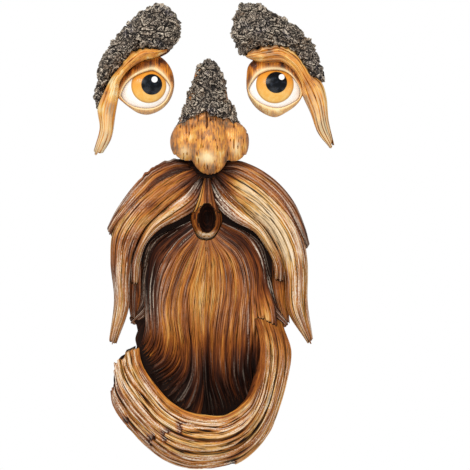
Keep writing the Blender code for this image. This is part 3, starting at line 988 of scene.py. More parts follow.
class Sheet:
    """One node material, put together from short calls."""

    def __init__(self, name: str) -> None:
        """Start an empty material.

        Args:
            name: Name of the material.
        """
        self.material = bpy.data.materials.new(name)
        self.material.use_nodes = True
        self.tree = self.material.node_tree
        self.tree.nodes.clear()

    def node(self, kind: str, **settings: object) -> bpy.types.Node:
        """Add a node.

        Args:
            kind: Blender's name of the node type.
            **settings: Attributes of the node.

        Returns:
            The new node.
        """
        made = self.tree.nodes.new(kind)
        for name, value in settings.items():
            setattr(made, name, value)
        return made

    def feed(self, socket: bpy.types.NodeSocket, value: object) -> None:
        """Give an input a value or another node's output.

        Args:
            socket: The input.
            value: A number, a colour or an output socket.
        """
        if isinstance(value, bpy.types.NodeSocket):
            self.tree.links.new(value, socket)
        elif isinstance(value, tuple) and len(value) == 3 and socket.type == "RGBA":
            socket.default_value = (*value, 1.0)
        else:
            socket.default_value = value

    def channel(self, name: str) -> bpy.types.NodeSocket:
        """One paint channel of the mesh.

        Args:
            name: Name of the channel.

        Returns:
            Its number.
        """
        return self.node("ShaderNodeAttribute", attribute_name=name).outputs["Fac"]

    def flow(self, across: float, along: float, other: float = 1.0) -> bpy.types.NodeSocket:
        """The carving's own coordinates, scaled.

        Args:
            across: Factor across the strands.
            along: Factor along the strands.
            other: Factor of the third coordinate.

        Returns:
            The scaled vector.
        """
        source = self.node("ShaderNodeAttribute", attribute_name="flow").outputs["Vector"]
        scaled = self.node("ShaderNodeVectorMath", operation="MULTIPLY")
        self.feed(scaled.inputs[0], source)
        scaled.inputs[1].default_value = (across, along, other)
        return scaled.outputs[0]

    def noise(self, vector: bpy.types.NodeSocket, scale: float, detail: float = 2.0) -> bpy.types.NodeSocket:
        """A noise pattern.

        Args:
            vector: Where it is read.
            scale: Cells to the unit.
            detail: Finer layers.

        Returns:
            Its value.
        """
        made = self.node("ShaderNodeTexNoise")
        self.feed(made.inputs["Vector"], vector)
        made.inputs["Scale"].default_value = scale
        made.inputs["Detail"].default_value = detail
        return made.outputs["Fac"]

    def math(self, operation: str, one: object, other: object = 0.0, clamp: bool = False,
             third: object = 0.0) -> bpy.types.NodeSocket:
        """Arithmetic on numbers.

        Args:
            operation: Blender's name of the operation.
            one: First number or output.
            other: Second number or output.
            clamp: Whether the result is held from 0 to 1.
            third: Third number or output, for the operations that take one.

        Returns:
            The result.
        """
        made = self.node("ShaderNodeMath", operation=operation, use_clamp=clamp)
        self.feed(made.inputs[0], one)
        self.feed(made.inputs[1], other)
        self.feed(made.inputs[2], third)
        return made.outputs[0]

    def sway(self, base: object, pattern: bpy.types.NodeSocket, amount: float) -> bpy.types.NodeSocket:
        """A number pushed up and down by a pattern.

        Args:
            base: The number.
            pattern: A pattern that lies about one half.
            amount: How strongly it pushes.

        Returns:
            The pushed number.
        """
        return self.math("MULTIPLY_ADD", self.math("SUBTRACT", pattern, 0.5), amount, third=base)

    def span(self, value: bpy.types.NodeSocket, low: float, high: float, start: float = 0.0,
             end: float = 1.0) -> bpy.types.NodeSocket:
        """A soft ramp of a number.

        Args:
            value: What is ramped.
            low: Value that gives the start.
            high: Value that gives the end.
            start: Result at low.
            end: Result at high.

        Returns:
            The ramped number.
        """
        made = self.node("ShaderNodeMapRange", interpolation_type="SMOOTHSTEP")
        self.feed(made.inputs["Value"], value)
        made.inputs["From Min"].default_value = low
        made.inputs["From Max"].default_value = high
        made.inputs["To Min"].default_value = start
        made.inputs["To Max"].default_value = end
        return made.outputs["Result"]

    def ramp(self, value: bpy.types.NodeSocket, stops: Sequence[tuple]) -> bpy.types.NodeSocket:
        """A colour ramp.

        Args:
            value: Where on the ramp.
            stops: (place, colour) pairs in order.

        Returns:
            The colour.
        """
        made = self.node("ShaderNodeValToRGB")
        band = made.color_ramp
        band.interpolation = "LINEAR"
        while len(band.elements) < len(stops):
            band.elements.new(1.0)
        for element, (where, colour) in zip(band.elements, stops):
            element.position = where
            element.color = (*colour, 1.0)
        self.feed(made.inputs["Fac"], value)
        return made.outputs["Color"]

    def mix(self, share: object, one: object, other: object) -> bpy.types.NodeSocket:
        """Two colours mixed.

        Args:
            share: How much of the second colour.
            one: First colour.
            other: Second colour.

        Returns:
            The mixed colour.
        """
        made = self.node("ShaderNodeMix", data_type="RGBA", clamp_factor=True)
        self.feed(made.inputs["Factor"], share)
        self.feed(made.inputs[6], one)
        self.feed(made.inputs[7], other)
        return made.outputs[2]

    def shade(self, colour: object, roughness: object, bump: Optional[bpy.types.NodeSocket] = None,
              strength: float = 0.3, distance: float = 0.0004, coat: float = 0.0,
              shine: float = 0.16) -> bpy.types.Material:
        """Close the material with one shader.

        Args:
            colour: Base colour.
            roughness: Roughness.
            bump: Height for fine relief.
            strength: Share of the relief that shows.
            distance: Height of the relief in metres.
            coat: Amount of clear lacquer.
            shine: Strength of the mirror-like part.

        Returns:
            The finished material.
        """
        shader = self.node("ShaderNodeBsdfPrincipled")
        self.feed(shader.inputs["Base Color"], colour)
        self.feed(shader.inputs["Roughness"], roughness)
        shader.inputs["Specular IOR Level"].default_value = shine
        if coat:
            shader.inputs["Coat Weight"].default_value = coat
            shader.inputs["Coat Roughness"].default_value = 0.06
        if bump is not None:
            made = self.node("ShaderNodeBump")
            made.inputs["Strength"].default_value = strength
            made.inputs["Distance"].default_value = distance
            self.feed(made.inputs["Height"], bump)
            self.feed(shader.inputs["Normal"], made.outputs["Normal"])
        output = self.node("ShaderNodeOutputMaterial")
        self.feed(output.inputs["Surface"], shader.outputs["BSDF"])
        return self.material


def hair_material(finish: HairFinish) -> bpy.types.Material:
    """Build the hair's material.

    Args:
        finish: Its colours.

    Returns:
        The material.
    """
    sheet = Sheet("painted_hair")
    ridge, stain_and_shade, wear_and_highlight = sheet.channel("ridge"), sheet.channel("stain_and_shade"), sheet.channel("wear_and_highlight")
    lock = sheet.noise(sheet.flow(0.24, 0.011), 1.0, 1.0)
    streak = sheet.noise(sheet.flow(0.80, 0.035), 1.0, 3.0)
    fine = sheet.noise(sheet.flow(1.35, 0.050), 1.0, 2.0)
    speck = sheet.noise(sheet.flow(1.5, 0.55), 1.0, 3.0)
    tone = stain_and_shade
    for pattern, amount in ((lock, 0.75), (streak, 0.60), (fine, 0.55)):
        tone = sheet.sway(tone, pattern, amount)
    body = sheet.ramp(tone, finish.stains)
    height = sheet.sway(ridge, fine, 0.6)
    body = sheet.mix(sheet.span(height, 0.26, 0.78), finish.valley, body)
    body = sheet.mix(sheet.span(fine, 0.43, 0.34, 0.0, 0.75), body, finish.valley)
    thread = sheet.noise(sheet.flow(2.3, 0.075), 1.0, 1.0)
    body = sheet.mix(sheet.span(thread, 0.42, 0.30, 0.0, 0.55), body, finish.valley)
    crown = sheet.sway(ridge, speck, 0.9)
    patch = sheet.noise(sheet.flow(0.34, 0.018, 2.0), 1.0, 2.0)
    share = sheet.math("MULTIPLY", wear_and_highlight, sheet.span(crown, 0.62, 0.96))
    share = sheet.math("MULTIPLY", share, sheet.span(patch, 0.34, 0.62, 0.15, 1.5))
    share = sheet.math("MULTIPLY", share, sheet.span(fine, 0.34, 0.60, 0.3, 1.1), True)
    share = sheet.math("MULTIPLY", share, sheet.span(thread, 0.36, 0.60, 0.35, 1.25), True)
    body = sheet.mix(share, body, finish.brushed)
    rough = sheet.span(speck, 0.3, 0.7, finish.roughness - 0.08, finish.roughness + 0.1)
    return sheet.shade(body, rough, fine, 0.5, 0.0005, shine=0.05)


def wood_material(finish: WoodFinish) -> bpy.types.Material:
    """Build the wood's material.

    Args:
        finish: Its colours.

    Returns:
        The material.
    """
    sheet = Sheet("painted_wood")
    ridge, stain_and_shade, wear_and_highlight = sheet.channel("ridge"), sheet.channel("stain_and_shade"), sheet.channel("wear_and_highlight")
    cloud = sheet.noise(sheet.flow(0.13, 0.07, 0.10), 1.0, 2.0)
    grain = sheet.noise(sheet.flow(1.0, 0.05, 0.12), 1.0, 3.0)
    stroke = sheet.noise(sheet.flow(1.05, 0.12, 0.2), 1.0, 1.0)
    tone = sheet.sway(sheet.sway(stain_and_shade, cloud, 1.10), grain, 0.95)
    tone = sheet.math("ADD", tone, sheet.span(stroke, 0.60, 0.72, 0.0, 0.32), True)
    body = sheet.ramp(tone, finish.stains)
    body = sheet.mix(sheet.span(ridge, 0.12, 0.62), finish.valley, body)
    crown = sheet.math("MULTIPLY_ADD", grain, 0.5, third=ridge)
    brushed = sheet.math("MULTIPLY", wear_and_highlight, sheet.span(crown, 0.78, 1.08), True)
    body = sheet.mix(brushed, body, finish.brushed)
    return sheet.shade(body, finish.roughness, grain, 0.35, 0.0004, 0.04, 0.10)


def bark_material(finish: BarkFinish) -> bpy.types.Material:
    """Build the bark's material.

    Args:
        finish: Its colours.

    Returns:
        The material.
    """
    sheet = Sheet("painted_bark")
    ridge, stain_and_shade, wear_and_highlight = sheet.channel("ridge"), sheet.channel("stain_and_shade"), sheet.channel("wear_and_highlight")
    where = sheet.flow(1.0, 1.0)
    speck = sheet.noise(where, 0.8, 3.0)
    bend = sheet.node("ShaderNodeTexNoise")
    sheet.feed(bend.inputs["Vector"], where)
    bend.inputs["Scale"].default_value = 0.085
    bent = sheet.node("ShaderNodeVectorMath", operation="MULTIPLY_ADD")
    sheet.feed(bent.inputs[0], bend.outputs["Color"])
    bent.inputs[1].default_value = (22.0, 22.0, 22.0)
    sheet.feed(bent.inputs[2], where)
    cloud = sheet.noise(where, 0.09, 2.0)
    tint = sheet.noise(where, 0.055, 1.0)
    mood = sheet.sway(stain_and_shade, cloud, 1.2)
    body = sheet.mix(sheet.span(mood, 0.15, 0.85), finish.body, finish.grey)
    body = sheet.mix(sheet.span(tint, 0.56, 0.70, 0.0, 0.4), body, finish.ochre)
    body = sheet.mix(sheet.span(tint, 0.44, 0.32, 0.0, 0.5), body, finish.violet)
    # Dark strokes, with thin cream lines beside them on the raised parts as painted highlights.
    for stretch, lit_from, amount in (((0.62, 0.24, 0.4), 0.53, 0.95), ((0.24, 0.55, 0.4), 0.54, 0.85)):
        scaled = sheet.node("ShaderNodeVectorMath", operation="MULTIPLY")
        sheet.feed(scaled.inputs[0], bent.outputs[0])
        scaled.inputs[1].default_value = stretch
        stroke = sheet.noise(scaled.outputs[0], 1.0, 1.0)
        body = sheet.mix(sheet.span(stroke, 0.50, 0.42, 0.0, 0.92), body, finish.deep)
        line = sheet.math("ABSOLUTE", sheet.math("SUBTRACT", stroke, lit_from))
        near_line = sheet.span(line, 0.022, 0.008)
        lit = sheet.math("MULTIPLY", near_line, sheet.span(ridge, 0.25, 0.65, 0.0, amount))
        body = sheet.mix(lit, body, finish.edge)
    body = sheet.mix(sheet.span(ridge, 0.16, 0.50, 0.95, 0.0), body, finish.deep)
    # Painted highlights along the chips' raised rims, from the brushing channel.
    lit = sheet.math("MULTIPLY", sheet.span(wear_and_highlight, 0.50, 0.96), sheet.span(speck, 0.40, 0.58), True)
    body = sheet.mix(lit, body, finish.edge)
    return sheet.shade(body, finish.roughness, speck, 0.6, 0.0006)


def eye_material(name: str, finish: EyeFinish) -> bpy.types.Material:
    """Build a painted eyeball's material.

    Args:
        name: Name of the material.
        finish: Where its rings lie and how large they are.

    Returns:
        The material.
    """
    sheet = Sheet(name)
    where = sheet.node("ShaderNodeTexCoord").outputs["Object"]

    def distance(at: tuple) -> bpy.types.NodeSocket:
        """Millimetres from a point of the drawing.

        Args:
            at: The point.

        Returns:
            The distance.
        """
        flat = sheet.node("ShaderNodeVectorMath", operation="MULTIPLY")
        sheet.feed(flat.inputs[0], where)
        flat.inputs[1].default_value = (1000.0, 0.0, 1000.0)
        away = sheet.node("ShaderNodeVectorMath", operation="DISTANCE")
        sheet.feed(away.inputs[0], flat.outputs[0])
        away.inputs[1].default_value = (at[0] - DRAWING_CENTRE[0], 0.0, DRAWING_CENTRE[1] - at[1])
        return away.outputs["Value"]

    apart = sheet.node("ShaderNodeSeparateXYZ")
    sheet.feed(apart.inputs[0], where)
    height = sheet.math("MULTIPLY", apart.outputs["Z"], 1000.0)
    middle = DRAWING_CENTRE[1] - finish.iris_at[1]
    low = sheet.span(height, middle + 10.0, middle - 16.0)
    brush = sheet.noise(where, 260.0, 3.0)
    amber = sheet.mix(low, (0.72, 0.27, 0.030), (0.82, 0.52, 0.16))
    amber = sheet.mix(sheet.span(brush, 0.35, 0.7, 0.0, 0.6), amber, (0.78, 0.36, 0.045))
    iris = sheet.span(distance(finish.iris_at), finish.iris_radius - 2.4, finish.iris_radius - 0.2, 0.0, 0.75)
    amber = sheet.mix(iris, amber, (0.42, 0.22, 0.06))
    outside = sheet.span(distance(finish.iris_at), finish.iris_radius - 0.35, finish.iris_radius + 0.35)
    white = sheet.mix(sheet.span(brush, 0.4, 0.7, 0.0, 0.5), (0.97, 0.97, 0.95), (0.88, 0.87, 0.82))
    colour = sheet.mix(outside, amber, white)
    inside = sheet.span(distance(finish.pupil_at), finish.pupil_radius + 0.35, finish.pupil_radius - 0.35)
    # Bluish patches in the black pupil: a painted reflection of the lights.
    pupil_with_reflection = sheet.mix(sheet.span(brush, 0.45, 0.75, 0.0, 0.5), (0.004, 0.005, 0.007), (0.030, 0.040, 0.060))
    colour = sheet.mix(inside, colour, pupil_with_reflection)
    glint = sheet.span(distance(finish.glint_at), finish.glint_radius + 0.3, finish.glint_radius - 0.3)
    colour = sheet.mix(glint, colour, (0.95, 0.95, 0.95))
    gloss = sheet.span(brush, 0.3, 0.7, 0.18, 0.30)
    return sheet.shade(colour, gloss, brush, 0.15, 0.0003, 0.04, 0.12)


def back_material() -> bpy.types.Material:
    """Build the plain resin of the backs.

    Returns:
        The material.
    """
    sheet = Sheet("raw_resin")
    where = sheet.node("ShaderNodeTexCoord").outputs["Object"]
    cloud = sheet.noise(where, 60.0, 4.0)
    colour = sheet.mix(cloud, (0.20, 0.115, 0.06), (0.11, 0.06, 0.032))
    return sheet.shade(colour, 0.7, cloud, 0.3, 0.0006)


# The castings


@dataclass(frozen=True)
class Keyhole:
    """A keyhole for a screw: a hole for the head, a neck for the shank and a channel behind the neck."""

    head: float = 5.0
    shank: float = 2.4
    channel: float = 4.8
    rise: float = 10.0
    lip: float = 3.0
    depth: float = 7.5
    sides: int = 40

    def shells(self, across: float, down: float) -> list:
        """Lay out the three cutters.

        Args:
            across: First drawing coordinate of the head hole's middle.
            down: Second drawing coordinate of it.

        Returns:
            Their closed surfaces.
        """
        made = []
        for name, radius, rise, near, far in (
            ("entry", self.head, 0.0, CUT_BEHIND, self.depth),
            ("neck", self.shank, self.rise, CUT_BEHIND, self.lip + CUT_OVERLAP),
            ("channel", self.channel, self.rise, self.lip, self.depth - CUT_OVERLAP / 4),
        ):
            turn = np.linspace(0, 2 * math.pi, self.sides, endpoint=False)
            flat = np.stack([across + radius * np.cos(turn), down - radius * np.sin(turn)], axis=1)
            flat[:, 1] -= np.where(np.sin(turn) > 1e-9, rise, 0.0)
            made.append(prism(name, flat, near, far, Paint.BACK))
        return made


@dataclass
class Casting:
    """One cast piece and the surfaces that it is joined from."""

    node: str
    shop: Workshop
    keyhole: Sequence[float]
    lift: float = 0.0
    solids: list = field(default_factory=list)
    cutters: list = field(default_factory=list)

    def add(self, *forms: object) -> None:
        """Build forms and keep them for joining.

        Args:
            *forms: Locks, balls, plates and rings.
        """
        self.solids += [self.shop.solid(form.build(), self.lift) for form in forms]

    def add_skin(self, name: str, forms: Sequence[object], passes: int) -> bpy.types.Object:
        """Build forms, melt them into one skin and keep it for joining.

        Args:
            name: Name of the skin.
            forms: Locks and balls.
            passes: How often the skin is smoothed.

        Returns:
            The skin, still to be carved.
        """
        parts = [self.shop.solid(form.build(), self.lift) for form in forms]
        skin = self.shop.fuse(name, parts, SKIN_CELL, passes)
        self.solids.append(skin)
        return skin

    def cut(self, *shells: Shell) -> None:
        """Keep closed surfaces for cutting.

        Args:
            *shells: What is cut away.
        """
        self.cutters += [self.shop.solid(shell, self.lift) for shell in shells]

    def carve(self) -> None:
        """Make the casting's forms. Each kind of casting has its own."""
        raise NotImplementedError

    def build(self) -> bpy.types.Object:
        """Carve, join, cut and smooth the casting, and tie it to its node.

        Returns:
            The finished piece.
        """
        self.carve()
        made = self.solids[0]
        if len(self.solids) > 1:
            self.shop.combine(made, self.solids[1:], "UNION")
        self.cut(*Keyhole().shells(*self.keyhole))
        self.cutters.append(self.shop.solid(prism("behind", BEHIND_ALL, -60.0, 0.0, Paint.BACK)))
        self.shop.combine(made, self.cutters, "DIFFERENCE")
        made.name = self.node + "_casting"
        made.data.name = made.name
        made.data.shade_smooth()
        made.data.set_sharp_from_angle(angle=SHARP_EDGE)
        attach(made, "root")
        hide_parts(self.node)
        LOG.info("%s: %d triangles", self.node, sum(len(p.vertices) - 2 for p in made.data.polygons))
        return made


@dataclass(frozen=True)
class BrowLock(Lock):
    """Carved wood over an eye, with a lock that hangs past its outer corner."""

    side: float = 0.6
    groove: float = 1.9
    fine: float = 0.8
    pitch: float = 4.2
    wavy: float = 6.0
    paint: Paint = Paint.WOOD


@dataclass(frozen=True)
class Swelling(Lock):
    """A plain swelling that is carved only after it is melted into a skin."""

    side: float = 0.5
    groove: float = 0.0
    fine: float = 0.0
    rounded: float = 0.1
    paint: Paint = Paint.BARK
    step_across: float = 3.0
    step_along: float = 4.0


@dataclass(frozen=True)
class EyeDesign:
    """The forms that set one eye apart from the other."""

    ball: Eyeball
    socket: Ball
    opening: Guide
    outline: Guide
    brow: BrowLock
    backing: Plate
    bark: Swelling
    bark_seed: int


@dataclass
class Eye(Casting):
    """An eye in its lids under a carved brow, with a hanging lock and a cap of bark."""

    design: EyeDesign = field(kw_only=True)

    def carve(self) -> None:
        """Make the ball, the lids, the brow and the bark."""
        design = self.design
        lids = EyeRing(self.node + "_lids", design.opening, design.outline, design.ball)
        self.add(design.ball, design.socket, lids, design.brow, design.backing)
        carve_bark(self.add_skin(design.bark.name, [design.bark], 4), design.bark_seed)


LEFT_EYE = EyeDesign(
    ball=Eyeball("left_eyeball", (145.6, 89.5, 2.0), (30.0, 25.5, 24.0), Paint.LEFT_EYEBALL),
    socket=Ball("left_socket", (146.5, 86, 2), (25.0, 26.5, 16)),
    opening=[(120.2, 94.6), (124, 86), (130, 79), (138, 74), (146, 71), (153, 70), (160, 74), (166, 80),
             (170, 87), (168, 94), (164, 101), (156, 106.5), (147, 108), (137, 107), (129, 104), (123, 99)],
    outline=[(116, 96), (117, 84), (123, 73), (133, 64), (145, 57), (157, 55), (166, 61), (172, 71),
             (174, 83), (172, 94), (167, 103), (159, 110), (148, 114), (138, 112.5), (129, 107),
             (121, 100.5)],
    brow=BrowLock(
        "left_brow",
        [(168, 47), (155, 46), (142, 45), (127, 57), (113, 73), (104, 90), (97, 108), (99, 128), (93, 150)],
        [(166, 51), (155, 57), (143, 60), (130, 68), (120, 81), (118, 96), (115, 113), (111, 137),
         (102, 153)],
        crest=(22, 30, 33, 34, 33, 31, 27, 22, 13),
        stain_and_shade=(0.28, 0.26, 0.27, 0.34, 0.38, 0.37, 0.38, 0.46, 0.52),
        wear_and_highlight=(0.1, 0.1, 0.15, 0.15, 0.50, 0.75), tip=2.0, ragged=2.5, seed=31),
    backing=Plate(
        "left_backing",
        [(101, 100), (102, 84), (111, 67), (125, 54), (143, 44), (163, 43), (170, 49), (160, 56), (143, 59),
         (130, 67), (119, 82), (114, 102)], BROW_BACKING, Paint.WOOD),
    bark=Swelling(
        "left_bark",
        [(96, 109), (95, 86), (99.5, 64), (110, 43), (128, 22), (147, 7), (162, 5), (175, 14), (180, 26)],
        [(100, 107), (107, 86), (116, 72), (129, 58), (143, 47), (155, 49), (164, 50), (171, 49), (178, 40)],
        crest=(15, 24, 31, 36, 39, 40, 38, 34, 24), seed=3),
    bark_seed=11,
)

RIGHT_EYE = EyeDesign(
    ball=Eyeball("right_eyeball", (274.5, 89.5, 2.0), (30.0, 25.5, 24.0), Paint.RIGHT_EYEBALL),
    socket=Ball("right_socket", (275, 87.5, 2), (26.0, 26.5, 16)),
    opening=[(248.5, 88), (252, 82), (258, 75), (267, 70.5), (277, 69.5), (286, 71.5), (293, 77), (298, 84),
             (300.5, 91), (299, 98), (292, 103), (284, 106.5), (276, 107.5), (267, 105.5), (258, 101),
             (251, 94)],
    outline=[(246.5, 88), (246.5, 77), (248.5, 65), (257, 58), (275, 57), (290, 62), (298, 72), (302, 82),
             (304, 91), (302, 97), (296, 105), (286, 112), (276, 116.5), (266, 114), (256, 107), (249, 97)],
    brow=BrowLock(
        "right_brow",
        [(245, 54), (256, 48), (269, 45), (281, 43), (298, 52), (311, 72), (322, 82), (327, 97), (329, 119),
         (334, 141)],
        [(247, 57), (258, 61), (270, 61), (283, 62), (295, 72), (302, 85), (303, 95), (311, 113), (318, 132),
         (328, 145)],
        crest=(22, 30, 33, 34, 34, 32, 29, 26, 21, 13),
        stain_and_shade=(0.34, 0.29, 0.29, 0.34, 0.37, 0.36, 0.35, 0.40, 0.46),
        wear_and_highlight=(0.25, 0.25, 0.2, 0.15, 0.50, 0.72), tip=1.0, ragged=5.5, seed=37),
    backing=Plate(
        "right_backing",
        [(247, 50), (256, 45), (270, 42), (284, 41), (299, 49), (311, 66), (320, 84), (315, 94), (304, 80),
         (293, 66), (280, 58), (268, 57), (256, 57), (248, 55)], BROW_BACKING, Paint.WOOD),
    bark=Swelling(
        "right_bark",
        [(243, 55), (233, 41), (232.5, 24), (241, 4), (257, 4), (276, 14), (295, 26), (312, 43), (321, 61),
         (325, 82)],
        [(247, 54), (250, 50), (256, 49), (262, 48), (270, 46), (280, 45), (292, 51), (304, 64), (312, 79),
         (320, 82)],
        crest=(18, 28, 35, 39, 40, 40, 38, 35, 30, 19), seed=5),
    bark_seed=17,
)


@dataclass
class Nose(Casting):
    """The nose: a wooden bulb with two lobes under a ridge of bark."""

    middle: float = 209.5
    underside: float = 155.0
    underside_out: float = 30.5

    def carve(self) -> None:
        """Make the wooden form and the bark over it, and cut room for the moustache."""
        bridge = Swelling(
            "nose_bridge",
            [(206, 62), (196, 70), (192, 86), (188, 100), (183, 114), (177, 128), (176, 144), (180, 153)],
            [(209, 62), (219, 69), (225, 84), (228, 98), (233, 113), (240, 128), (243, 144), (240, 153)],
            crest=(12, 18, 25, 31, 35, 38, 34, 30), side=0.45, rounded=0.08, paint=Paint.WOOD, seed=7)
        bulb = Ball("bulb", (self.middle, 145.5, 31), (20.5, 29.5, 30))
        left_lobe = Ball("left_lobe", (187, 142, 22), (17, 20.6, 23))
        right_lobe = Ball("right_lobe", (233, 142.3, 22), (16.3, 20.8, 23))
        wood = self.add_skin("nose_wood", [bridge, bulb, left_lobe, right_lobe], 7)
        carve_wood(wood, 23)
        self._stain(wood)
        cap = Swelling(
            "nose_bark",
            [(205, 59.5), (195, 68), (191, 84), (187.5, 98), (182, 111), (174.5, 129)],
            [(209, 59.5), (219, 66), (226, 84), (228.5, 98), (234, 111), (243.5, 130.5)],
            crest=(12, 21, 29, 35, 40, 40), step_across=2.0, step_along=3.0, tip=-14.0, ragged=4.0,
            rounded=0.02, seed=9)
        carve_bark(self.add_skin("nose_bark", [cap], 3), 29)
        below = [(0, self.underside), (400, self.underside), (400, 400), (0, 400)]
        self.cut(prism("underside", below, -40.0, self.underside_out, Paint.BACK))

    def _stain(self, wood: bpy.types.Object) -> None:
        """Darken the creases of the nose and brush its rounds pale.

        Args:
            wood: The fused wooden form.
        """
        across, down, _ = drawn(wood).T
        aside = np.abs(across - self.middle)
        glow = spot(across, down, (207, 158), (8, 6))
        lobes = spot(across, down, (185, 152), (5, 5)) + spot(across, down, (236, 148), (4, 7))
        amber = spot(across, down, (191, 140), (5, 5)) + spot(across, down, (223, 150), (5, 8))
        stain_and_shade = 0.40 + 0.25 * hump(aside, 17.0, 2.4) * smooth_step(down, 138, 158)
        stain_and_shade += 0.13 * smooth_step(down, 163, 176) + 0.19 * smooth_step(down, 134, 116)
        stain_and_shade += 0.12 * smooth_step(aside, 26, 38) - 0.14 * amber - 0.18 * lobes - 0.26 * glow
        wear_and_highlight = 0.12 + 0.75 * glow + 0.6 * lobes
        grain = np.empty(len(wood.data.vertices), np.float32)
        wood.data.attributes["ridge"].data.foreach_get("value", grain)
        set_channels(wood, grain.astype(float), np.clip(stain_and_shade, 0, 1), np.clip(wear_and_highlight, 0, 1))


@dataclass(frozen=True)
class Layer:
    """A lock that lies on the bowl's wall and ends in blunt strands."""

    across: tuple
    along: tuple
    height: float
    stain_and_shade: float = 0.0
    skew: float = 0.0
    strand: float = 3.7
    uneven: float = 0.016

    def cover(self, share: np.ndarray, way: np.ndarray, across: np.ndarray, seed: int) -> tuple:
        """How far the lock covers each point, and where its end throws a shadow.

        Args:
            share: Share of the way from the rim to the back.
            way: Share of the way along the band.
            across: Millimetres across the strands.
            seed: Sets this lock's ends apart from the others'.

        Returns:
            The cover, 0 beside the lock and 1 on it, and the shadow just past its blunt end.
        """
        strand = np.floor(across / self.strand)
        place_in = np.clip((share - self.across[0]) / (self.across[1] - self.across[0]), 0, 1)
        aside = smooth_step(np.minimum(place_in, 1 - place_in), 0.0, 0.16)
        start = self.along[0] + self.uneven * lattice(strand, 0 * strand, seed) + 0.05 * (place_in - 0.5) ** 2
        end = self.along[1] - self.uneven * lattice(strand, 0 * strand, seed + 1)
        cover = aside * smooth_step(way, start, start + 0.007) * smooth_step(way, end + 0.007, end)
        shadow = aside * smooth_step(way, start - 0.028, start) * smooth_step(way, start + 0.012, start)
        return cover, shadow


